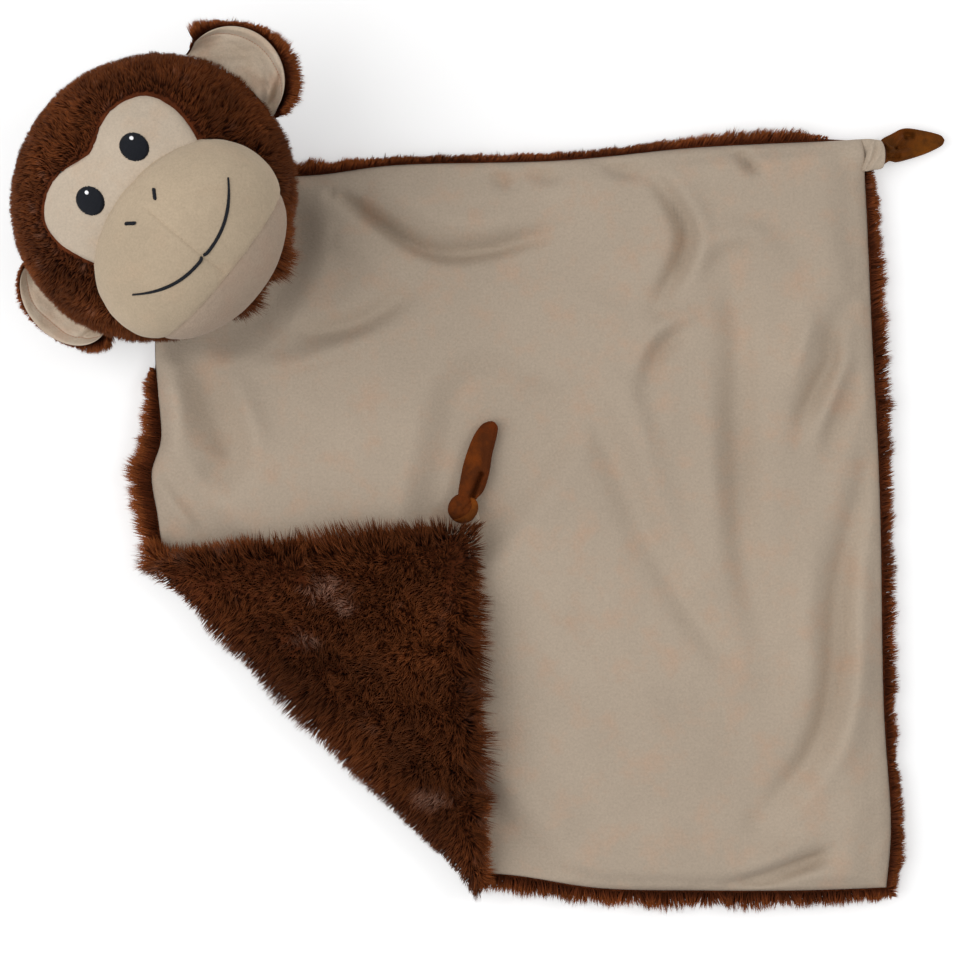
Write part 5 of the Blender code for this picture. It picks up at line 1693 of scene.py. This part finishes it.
# The photograph's right, in the head's axes, and the long tufts under the chin: place, width and extra length
RIGHT_WAY = np.array((math.cos(HEAD_ROLL), -math.sin(HEAD_ROLL), 0.0))
CHIN_TUFTS = [(0.013, 0.009, 1.25), (-0.010, 0.006, 1.3)]


class LOVEY_OT_head_pile(bpy.types.Operator):
    """The plush of the head, short and dense, combed away from the face"""

    bl_idname = "lovey.head_pile"
    bl_label = "Head Plush"

    def execute(self, context):
        sizes = context.scene.lovey_head
        chance = np.random.default_rng(200)
        half = head_half(GROUND_INSET + 0.0002)
        places = ball_places(int(sizes.strands * 1.45), 201) * half
        out = unit(places / half**2)
        edge = past_mask(places)
        muzzle = within(places + out * 0.003, MUZZLE_HALF, MUZZLE_CENTRE) - MUZZLE_MARGIN
        free = (places[:, 2] <= 0) | ((edge > 0.0004) & (muzzle > 0))
        places, out, edge, muzzle = (values[free] for values in (places, out, edge, muzzle))
        keep = chance.uniform(size=len(places)) < np.where(places[:, 2] > -0.01, 1.0, 0.72)
        places, out, edge, muzzle = (values[keep][: sizes.strands] for values in (places, out, edge, muzzle))
        border = np.maximum(bell(np.maximum(edge, 0), 0.004), bell(np.maximum(muzzle, 0), 0.12))
        border = np.where(places[:, 2] > 0, border, 0)
        lean = 0.55 + 0.25 * ripple(places, 0.03, 203)
        lean = np.where(places[:, 2] < -0.03, 1.3, lean)
        length = sizes.pile_length * chance.uniform(0.75, 1.1, len(places)) * (1 - 0.42 * border)
        length *= 1 + 0.18 * ripple(places, 0.012, 205)
        length *= (1 + 0.25 * (out @ RIGHT_WAY)) * (1 - 0.18 * np.maximum(out[:, 1], 0))
        for x, reach, more in CHIN_TUFTS:
            near = bell(places[:, 0] - x, reach) * smooth((-places[:, 1] - 0.046) / 0.010)
            length *= 1 + more * near * smooth(1 - abs(places[:, 2] - 0.004) / 0.03)
        tips, flow = pile_on_head(places, out, np.abs(lean), length)
        tone = 0.40 + 0.20 * ripple(places, 0.013, 209) + 0.06 * border
        width = chance.uniform(0.00036, 0.00062, len(places))
        tips = moved(HEAD, tips)
        tips[:, 2] = np.maximum(tips[:, 2], FRONT_FACE + CLEARANCE)
        pile_pieces(
            "head_pile", moved(HEAD, places), turned(HEAD, out + 0.4 * flow), tips, width, tone, 210, "head",
            "brown pile of the head",
        )
        return {"FINISHED"}


# Ears


def ear_place(along, out, inset, relief):
    """Places on an ear's middle face: along from -1 to 1 up the root, and out from 0 at the root to 1."""
    y = (EAR_HEIGHT / 2 - inset) * np.sin(along * math.pi / 2)
    root = HEAD_WIDTH / 2 * (np.sqrt(1 - ((y + EAR_LIFT) / (HEAD_HEIGHT / 2)) ** 2) - 1)
    reach = (EAR_REACH - inset) * np.cos(along * math.pi / 2)
    pleat = EAR_PLEAT * np.sin(math.pi * out) * np.cos(along * math.pi * 3 / 2) ** 2
    z = EAR_CUP * out**2 - pleat + relief
    return np.column_stack([root + (reach - root) * out, y + EAR_LIFT, z])


def ear_matrix(name):
    """Where an ear's root is on the head, in the frame."""
    sign, turn = (1, EAR_TURN["right"]) if name == "right" else (-1, EAR_TURN["left"])
    stand_off = CLEARANCE + EAR_PLUSH * EAR_ROOT_SHARE * max(0.0, math.sin(-turn))
    side, back = math.cos(EAR_SETBACK[name]), math.sin(EAR_SETBACK[name])
    place = Matrix.Translation((sign * (HEAD_WIDTH / 2 * side + stand_off), 0, -HEAD_DEPTH / 2 * back))
    return HEAD @ place @ Matrix.Rotation(-sign * turn, 4, "Y") @ Matrix.Diagonal((sign, 1, 1, 1))


# Where an ear's velour is drawn together at its root: depth and width in millimetres, and places along and out
EAR_CREASES = [
    (-3.4, 1.1, [(-0.62, 0.0), (-0.58, 0.35), (-0.50, 0.70), (-0.40, 0.92)]),
    (3.6, 1.4, [(-0.50, 0.0), (-0.46, 0.35), (-0.38, 0.65)]),
    (-3.2, 1.1, [(-0.36, 0.0), (-0.30, 0.30), (-0.22, 0.52)]),
    (0.8, 1.6, [(-0.18, 0.0), (-0.12, 0.35)]),
    (-0.8, 1.3, [(0.20, 0.0), (0.26, 0.30)]),
    (-0.9, 1.4, [(0.62, 0.0), (0.60, 0.40)]),
]


def ear_along(u):
    return (2 * u - 1) * EAR_SPAN


def ear_thinness(out):
    """How thick an ear's plush is, as a share: it thins towards the root."""
    return EAR_ROOT_SHARE + (1 - EAR_ROOT_SHARE) * smooth(out * 2)


def sideways(values):
    """Ways along an ear's own height."""
    return np.column_stack([0 * values, values, 0 * values])


def ear_relief(u, v):
    """The creases of an ear's velour, fading to its root and its rim."""
    flat = np.column_stack([ear_along(u) * EAR_HEIGHT / 2, v * EAR_REACH])
    rise = 0.0004 * ripple(flat, 0.012, 301)
    for depth, width, line in EAR_CREASES:
        apart, at = line_distance(flat, np.array(line) * (EAR_HEIGHT / 2, EAR_REACH))
        rise += depth * 1e-3 * (1 - 0.8 * at) * bell(apart, width * 1e-3)
    return rise * smooth((1 - v) * 8) * smooth(v * 3)


def ear_back_face(u, v):
    return ear_place(ear_along(u), v, 0.0, -0.0003 * (1 - v))


def ear_back_rear(u, v):
    thin = ear_thinness(v) * (1 - 0.55 * smooth((v - 0.8) / 0.2))
    return ear_place(ear_along(u), v, 0.0004, -(EAR_PLUSH - 0.001) * thin)


def ear_front_face(u, v):
    rim = 0.0009 * bell(v - 0.90, 0.05) - 0.0006 * bell(v - 0.78, 0.025)
    relief = np.maximum(ear_relief(u, v) + rim, -EAR_DEEPEST)
    return ear_place(ear_along(u), v, EAR_RIM * 0.55, relief + 0.0018 + 0.0012 * rounded(v, 0.93, 0.07))


def ear_front_rear(u, v):
    return ear_place(ear_along(u), v, EAR_RIM * 0.55, np.maximum(ear_relief(u, v), -EAR_DEEPEST) + 0.0017)


class LOVEY_OT_ears(bpy.types.Operator):
    """The two ears: cupped velour in front, a rim of plush and a plush back"""

    bl_idname = "lovey.ears"
    bl_label = "Ears"

    def execute(self, context):
        for name in ("right", "left"):
            matrix = ear_matrix(name)
            back = double_sheet(f"ear_{name}_ground", 44, 24, ear_back_face, ear_back_rear)
            back = tidy(into_place(back, matrix), 0)
            dress(back, f"ear_{name}", "brown plush ground", [f"ear_{name}_back"])
            front = double_sheet(f"ear_{name}_velour", 72, 48, ear_front_face, ear_front_rear)
            front = tidy(into_place(front, matrix), 0)
            dress(front, f"ear_{name}", "cream velour of the ears", [f"ear_{name}_front"])
            at = np.linspace(0.08, 0.92, 44)[:, None] + np.linspace(0, 0.011, 4)[None, :]
            flat = ear_front_face(at.ravel(), np.full(at.size, 0.79)).reshape(44, 4, 3) + [0, 0, 0.0001]
            stitches = satin(f"ear_{name}_stitches", flat, np.zeros_like(flat) + [0, 0, 1], 0.00016)
            stitches = tidy(into_place(stitches, matrix), 0)
            dress(stitches, f"ear_{name}", "reddish thread")
        return {"FINISHED"}


# How long each ear's plush stands past its rim, from its chin end to its crown end
EAR_FRINGE = {
    "right": [1.10, 1.35, 1.40, 1.30, 1.20, 0.90, 0.40, 0.25, 0.50, 1.00, 1.55],
    "left": [1.15, 1.05, 0.75, 0.40, 0.30, 0.35, 0.45, 0.60, 0.62, 0.50, 0.40],
}


class LOVEY_OT_ear_pile(bpy.types.Operator):
    """The plush on the back of the ears and round their rims"""

    bl_idname = "lovey.ear_pile"
    bl_label = "Ear Plush"

    def execute(self, context):
        count = context.scene.lovey_head.ear_strands
        for number, name in enumerate(("right", "left")):
            chance = np.random.default_rng(400 + number)
            rim = count * 3 // 5
            along = chance.uniform(-EAR_SPAN, EAR_SPAN, count)
            at_rim = chance.uniform(0.93, 1.0, rim)
            out = np.concatenate([at_rim, np.sqrt(chance.uniform(0.02, 1.0, count - rim))])
            on_rim = np.arange(count) < rim
            place = ear_place(along, out, 0.0003, 0.0)
            depth = np.where(on_rim, chance.uniform(0.05, 0.75, count), 0.70) * ear_thinness(out)
            place[:, 2] -= EAR_PLUSH * depth
            outer, inner = (ear_place(along, at, 0.0, 0.0) for at in (np.minimum(out + 0.05, 1.2), out - 0.05))
            radial = unit(unit(outer - inner) + sideways(0.9 * np.sin(along * math.pi / 2)))
            down = np.array((0.0, 0.0, -1.0))
            way = np.where(on_rim[:, None], radial + down * (depth - 0.35)[:, None] * 1.3, down + radial * 0.9)
            way = way + sideways(0.45 * ripple(place, 0.009, 410 + number))
            way = unit(way + chance.normal(scale=0.15, size=way.shape))
            reach = along_curve(np.array(EAR_FRINGE[name])[:, None], (along + EAR_SPAN) / (2 * EAR_SPAN))[:, 0]
            length = np.where(on_rim, 0.0074 * reach, 0.0050) * chance.uniform(0.65, 1.1, count)
            tips = place + way * length[:, None]
            tips = tufted(place, tips, 0.0038, 0.5 * chance.uniform(0.4, 1.0, count), 420 + number)
            tone = 0.42 + 0.10 * ripple(place, 0.012, 430 + number)
            width = chance.uniform(0.00036, 0.00062, count)
            matrix = ear_matrix(name)
            # This pile is lightened: painted light on the ears' rims
            pile_pieces(
                f"ear_{name}_pile", moved(matrix, place), turned(matrix, way), moved(matrix, tips), width,
                tone, 440 + 10 * number, f"ear_{name}", "brown pile of the ears",
            )
        return {"FINISHED"}


class LOVEY_OT_neck(bpy.types.Operator):
    """The gathered stump of plush between the head and the blanket"""

    bl_idname = "lovey.neck"
    bl_label = "Neck"

    def execute(self, context):
        low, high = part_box("neck")
        centre = (low + high) / 2
        crown = np.array((*CROWN_WAY, 0.0))
        side = np.array((CROWN_WAY[1], -CROWN_WAY[0], 0.0))
        place = HEAD_FLAT - CROWN_WAY * NECK_DROP
        foot = np.array((*place, low.z + NECK_RADIUS))

        def shape(u, v):
            angle = math.tau * v
            sine = np.sin(angle)
            ends = np.sqrt(np.clip(1 - (2 * u - 1) ** 12, 0, 1))
            gather = 1 - 0.10 * np.sin(u * math.pi * 11) ** 2 - 0.05 * np.sin(u * math.pi * 31 + 3 * sine)
            size = ends * gather
            across = np.cos(angle) * (1 + 0.6 * np.clip(sine, 0, 1))
            up = sine * np.where(sine > 0, high.z - low.z - NECK_RADIUS * 1.6, NECK_RADIUS)
            flat = foot + side * ((u - 0.5) * NECK_WIDTH * 0.96)[:, None]
            flat[:, 2] += up * size
            return flat + crown * (across * NECK_RADIUS * size)[:, None]

        neck = warped_grid("neck_gathers", 110, 28, shape)
        dress(neck, "head", "brown plush ground", ["neck"])
        return {"FINISHED"}


# Corner cuffs and knotted tabs. Outlines and creases are in millimetres, from the knot along the tab and across
# it, and each crease has its height, its width and its line. A tab's other sizes are in metres: its tail's
# thickness and what that loses to the tip; how high the tail starts, what it keeps of its drop and how soon it
# sinks. Its knot has its half sizes and its creases in millimetres, and its place in metres.

TOP_TAB = {
    "cloth": "chestnut velour of the upper corner's tab",
    "thick": (0.0062, 0.0018),
    "hang": (0.0016, 0.0016, 1.35),
    "upper": [(-7.6, 3.4), (-5.9, 8.1), (-0.5, 10.2), (6.6, 12.1), (14.9, 9.9), (23.3, 6.2), (25.2, 3.6)],
    "lower": [
        (-7.8, 0.5), (-6.9, -3.6), (-3.4, -2.7), (0.1, -3.7), (6.4, -3.2), (15.3, -1.9), (23.2, 0.4),
        (25.0, 2.2),
    ],
    "creases": [
        (3.4, 0.9, [(-4.4, 1.0), (0.2, 3.9), (3.8, 7.0), (6.1, 9.1)]),
        (3.2, 0.8, [(-4.9, 6.6), (-2.9, 3.8), (-0.8, 1.9), (3.4, 1.2), (9.1, 1.6)]),
        (-3.6, 1.7, [(5.2, 6.6), (7.4, 9.0), (11.8, 7.4)]),
        (-2.4, 1.3, [(-5.4, 0.3), (-1.3, -0.6), (3.0, -1.4)]),
        (-2.0, 1.0, [(-1.8, 3.2), (1.4, 2.6)]),
        (0.5, 1.4, [(1.5, 9.8), (4.5, 4.2), (14.0, 3.2), (21.0, 3.0)]),
    ],
    "knot": ((3.6, 3.4, 2.8), [], 5),
    "knot_place": (-0.0030, 0.0020, -0.0010),
}
FLAP_TAB = {
    "cloth": "chestnut velour of the folded corner's tab",
    "thick": (0.0064, 0.0016),
    "hang": (0.0004, 0.0030, 1.5),
    "upper": [
        (3.0, 2.4), (6.3, 4.4), (13.6, 5.6), (23.5, 6.4), (34.9, 5.8), (41.8, 3.8), (44.6, 1.4), (45.7, -1.0),
    ],
    "lower": [
        (3.0, -2.6), (7.4, -4.9), (12.3, -7.0), (20.6, -7.1), (30.3, -5.8), (39.4, -5.3), (43.6, -4.5),
        (45.4, -2.6),
    ],
    "creases": [
        (-4.2, 1.2, [(5.4, -1.9), (8.4, -2.8), (14.1, -3.0), (18.6, -3.5), (21.0, -4.0)]),
        (0.8, 1.3, [(6.0, -4.4), (12.0, -5.4), (19.0, -5.6), (27.0, -5.0)]),
        (0.5, 1.6, [(6.0, 1.0), (14.0, 0.8), (24.0, -0.6), (36.0, -1.8)]),
        (-0.5, 1.4, [(8.0, 3.4), (18.0, 4.0), (30.0, 3.6)]),
        (-0.4, 1.6, [(26.0, -3.4), (36.0, -0.4), (41.0, 0.4)]),
    ],
    "knot": ((7.2, 7.2, 5.6), [
        (-0.9, 0.6, [(9.0, -2.7), (5.5, -2.8), (2.8, -2.3), (-0.4, -0.6)]),
        (-0.5, 0.8, [(5.8, 4.0), (2.4, 2.8), (-1.6, 3.6)]),
        (0.4, 1.0, [(4.4, 2.0), (0.4, 1.6), (-3.6, 0.8)]),
    ], 6),
    "knot_place": (0.0006, 0.0004, 0),
}
TOP_CUFF = {
    "upper": [(-13, 6.0), (-5, 7.4), (0.5, 7.7), (5.5, 7.3), (9.2, 6.4), (10.9, 2.4)],
    "lower": [(-12, -1.0), (-4, -4.4), (0.4, -8.0), (5.5, -7.6), (10.0, -6.4), (11.0, -0.8)],
    "creases": [
        (0.8, 0.9, [(0.5, -8.0), (3.5, -1.0), (5.2, 6.0)]),
        (-0.8, 0.8, [(2.0, -7.4), (5.0, -2.2), (6.8, 3.0)]),
        (0.6, 0.9, [(3.9, -6.6), (7.2, -2.2), (8.8, 2.6)]),
        (-0.6, 0.8, [(-1.0, -4.0), (1.6, 1.4), (3.0, 6.0)]),
        (0.5, 1.0, [(-3.0, -2.0), (-0.6, 2.4), (0.4, 6.4)]),
    ],
}
FLAP_CUFF = {
    "left": [(-39.0, -7.4), (-37.5, -3.0), (-35.5, 0.6), (-32.5, 3.4)],
    "right": [(-25.6, -7.4), (-24.0, -4.4), (-23.6, 0.0), (-25.0, 6.4)],
}
# A dark band along the end of the upper corner's cuff: painted shadow in the gap before the knot
SHADOW_BAND_CURVE = [
    (172.3, 187.2, 11.4), (173.3, 184.8, 11.0), (173.8, 181.4, 10.8), (173.5, 178.2, 11.0),
    (172.6, 175.6, 11.2), (171.2, 174.0, 11.2),
]
WRAP_CURVE = [
    (6.6, -1.9, 2.2), (5.6, -3.7, 3.0), (3.4, -4.9, 3.4), (0.6, -5.0, 3.6),
    (-2.0, -3.8, 3.6), (-3.8, -1.8, 3.2), (-5.0, 1.0, 1.8), (-5.6, 3.4, -0.6),
]


def hub_matrix(name, height):
    """The tab's own axes: its joint's place, X along the tab at rest."""
    place, turn = TAB_HUBS[name]
    return Matrix.Translation((*place, height)) @ Matrix.Rotation(turn, 4, "Z")


def round_tube(first, second, v):
    """For a tube between edges in millimetres: flat places, the share across them and the sine of the turn."""
    angle = math.tau * v
    across = 0.5 + 0.5 * np.cos(angle)
    return (second + (first - second) * across[:, None]) * 1e-3, across, np.sin(angle)


def puffed(sine, fullness):
    """A tube's height over its sine: the fuller it is, the lower the power."""
    return np.abs(sine) ** fullness * np.sign(sine)


def creased(flat, creases, fade=np.ones_like):
    """How far creases raise flat places. fade weakens each along the shares of its line."""
    rise = np.zeros(len(flat))
    for peak, width, line in creases:
        apart, at = line_distance(flat * 1e3, line)
        rise += peak * 1e-3 * bell(apart, width) * fade(at)
    return rise


def leaf(name, tab, drop):
    """A tab's tail: a puffed velour leaf between its two edges, which sinks from its knot."""
    thick, thinner = tab["thick"]
    start, kept, soon = tab["hang"]

    def shape(u, v):
        upper, lower = (along_curve(tab[edge], u) for edge in ("upper", "lower"))
        flat, across, sine = round_tube(upper, lower, v)
        top = smooth(sine * 3)
        z = start - (drop - kept) * smooth(u * soon) + (thick - thinner * smooth(u)) / 2 * puffed(sine, 0.62)
        z += top * creased(flat, tab["creases"], lambda at: smooth(6 * at) * smooth(6 * (1 - at)))
        inside = np.minimum(across, 1 - across) * np.linalg.norm(upper - lower, axis=1) * 1e-3
        z -= LEAF_SEAM_DIP * top * bell(inside - LEAF_SEAM_INSET, LEAF_SEAM_WIDTH) * smooth(8 * (1 - u))
        z += 0.00012 * ripple(flat, 0.006, 17, 2) * top
        return np.column_stack([flat, z])

    return close_ends(warped_grid(name, 120, 96, shape))


def close_ends(obj):
    """Fills the two open ends of a tube."""
    edit_all(obj)
    bpy.ops.mesh.select_all(action="DESELECT")
    bpy.ops.mesh.select_mode(type="EDGE")
    bpy.ops.mesh.select_non_manifold()
    bpy.ops.mesh.fill_holes(sides=0)
    bpy.ops.mesh.select_all(action="SELECT")
    bpy.ops.mesh.normals_make_consistent(inside=False)
    bpy.ops.object.mode_set(mode="OBJECT")
    bpy.ops.object.shade_smooth()
    return obj


def band(name, points, wide, high):
    """A soft band along a curve of points in millimetres, thick in its middle and drawn in at its ends."""
    points = np.asarray(points, float) * 1e-3

    def shape(u, v):
        way = unit(along_curve(points, np.clip(u + 0.02, 0, 1)) - along_curve(points, np.clip(u - 0.02, 0, 1)))
        side = unit(np.cross(way, np.array((0.0, 0.0, 1.0))))
        up = np.cross(side, way)
        swell = np.sqrt(np.clip(np.sin(math.pi * np.clip(u, 0.004, 0.996)), 0, 1))
        angle = math.tau * v
        out = side * (np.cos(angle) * wide / 2 * swell)[:, None]
        return along_curve(points, u) + (out + up * (np.sin(angle) * high / 2 * swell)[:, None])

    return close_ends(warped_grid(name, 60, 28, shape))


def knot_ball(name, half, creases, seed):
    """A knot's ball of folded cloth, with creases over its upper side. Its half sizes are in millimetres."""
    obj = add_ball(name, np.array(half) * 1e-3, np.zeros(3), 64, 40)
    places = corners_of(obj)
    top = smooth(unit(places)[:, 2] * 3 + 0.4)
    places[:, 2] += top * creased(places[:, :2], creases)
    places += unit(places) * (0.00018 * ripple(places, 0.006, seed, 2))[:, None]
    place_corners(obj, places)
    bpy.ops.object.shade_smooth()
    return obj


def top_cuff_shape(u, v):
    upper, lower = (along_curve(TOP_CUFF[edge], u) for edge in ("upper", "lower"))
    flat, across, sine = round_tube(upper, lower, v)
    sunk = smooth((0.004 - flat[:, 0]) / 0.007)
    z = 0.0028 * puffed(sine, 0.6) * rounded(u, 0.86, 0.15, 0.02) - 0.0042 * sunk
    return np.column_stack([flat, z + smooth(sine * 3) * creased(flat, TOP_CUFF["creases"])])


def flap_cuff_shape(u, v):
    left, right = (along_curve(FLAP_CUFF[edge], u) for edge in ("left", "right"))
    flat, across, sine = round_tube(right, left, v)
    z = 0.0022 * puffed(sine, 0.6) * (1 - 0.3 * u)
    return np.column_stack([flat, z + 0.0002 * ripple(flat, 0.006, 23, 2) * smooth(sine * 3)])


class LOVEY_OT_cuffs(bpy.types.Operator):
    """The blanket's two corners, drawn together into their knots"""

    bl_idname = "lovey.cuffs"
    bl_label = "Corner Cuffs"

    def execute(self, context):
        low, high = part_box("top_corner_cuff")
        cuff = close_ends(warped_grid("top_corner_cuff_cloth", 70, 72, top_cuff_shape))
        place = (low.x, (low.y + high.y) / 2 - 0.0004, (low.z + high.z) / 2)
        into_place(cuff, Matrix.Translation(place))
        dress(cuff, "blanket", "cream velour of the corners", ["top_corner_cuff"])
        # A dark band at the cuff's end: painted shadow in the gap before the knot
        hem = band("top_corner_hem", SHADOW_BAND_CURVE, 0.0022, 0.0052)
        dress(hem, "blanket", "brown hem of the corner")

        low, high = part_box("flap_corner_cuff")
        cuff = close_ends(warped_grid("flap_corner_cuff_cloth", 50, 64, flap_cuff_shape))
        into_place(cuff, Matrix.Translation((0, 0, (low.z + high.z) / 2 + 0.0006)))
        dress(cuff, "blanket", "cream velour of the corners", ["flap_corner_cuff"])
        return {"FINISHED"}


class LOVEY_OT_tabs(bpy.types.Operator):
    """The two knotted velour tabs at the blanket's corners"""

    bl_idname = "lovey.tabs"
    bl_label = "Corner Tabs"

    def execute(self, context):
        for name, node, body, tab in (
            ("top", "top_corner_tab", "top_tab", TOP_TAB),
            ("flap", "flap_corner_tab", "flap_tab", FLAP_TAB),
        ):
            low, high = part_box(node)
            hub = hub_matrix(name, (low.z + high.z) / 2)
            tail = leaf(f"{name}_tab_leaf", tab, (high.z - low.z) / 2)
            dress(into_place(tail, hub), body, tab["cloth"], [node])
            knot = knot_ball(f"{name}_tab_knot", *tab["knot"])
            into_place(knot, hub @ Matrix.Translation(tab["knot_place"]))
            dress(knot, body, tab["cloth"])
        # The wrap is lighter than its tab: a painted highlight
        wrap = band("flap_tab_wrap", WRAP_CURVE, 0.0042, 0.0044)
        dress(into_place(wrap, hub), "flap_tab", "chestnut velour of the wrap")
        return {"FINISHED"}


OPERATORS = (
    LOVEY_OT_stage, LOVEY_OT_back_sheet, LOVEY_OT_front_sheet, LOVEY_OT_flap_pile, LOVEY_OT_under_pile,
    LOVEY_OT_fringe_pile, LOVEY_OT_head_plush, LOVEY_OT_stuffing, LOVEY_OT_face_mask, LOVEY_OT_muzzle,
    LOVEY_OT_embroidery, LOVEY_OT_head_pile, LOVEY_OT_ears, LOVEY_OT_ear_pile, LOVEY_OT_neck,
    LOVEY_OT_cuffs, LOVEY_OT_tabs,
)


GROUPS = {
    "lovey_blanket": LoveyBlanket,
    "lovey_head": LoveyHead,
    "lovey_colours": LoveyColours,
    "lovey_stage": LoveyStage,
}


class LOVEY_PT_panel(bpy.types.Panel):
    """Makes the lovey's pieces, one after the other"""

    bl_idname = "LOVEY_PT_panel"
    bl_label = "Lovey"
    bl_space_type = "VIEW_3D"
    bl_region_type = "UI"
    bl_category = "Lovey"

    def draw(self, context):
        for name, group in GROUPS.items():
            box = self.layout.box()
            for field in group.__annotations__:
                box.prop(getattr(context.scene, name), field)
        for operator in OPERATORS:
            self.layout.operator(operator.bl_idname)


def register():
    for group in (*GROUPS.values(), *OPERATORS, LOVEY_PT_panel):
        bpy.utils.register_class(group)
    for name, group in GROUPS.items():
        setattr(bpy.types.Scene, name, PointerProperty(type=group))


def unregister():
    for name in GROUPS:
        delattr(bpy.types.Scene, name)
    for group in reversed((*GROUPS.values(), *OPERATORS, LOVEY_PT_panel)):
        bpy.utils.unregister_class(group)


def main():
    register()
    for operator in OPERATORS:
        step = operator.bl_idname.split(".")[1]
        getattr(bpy.ops.lovey, step)()


if __name__ == "__main__":
    main()
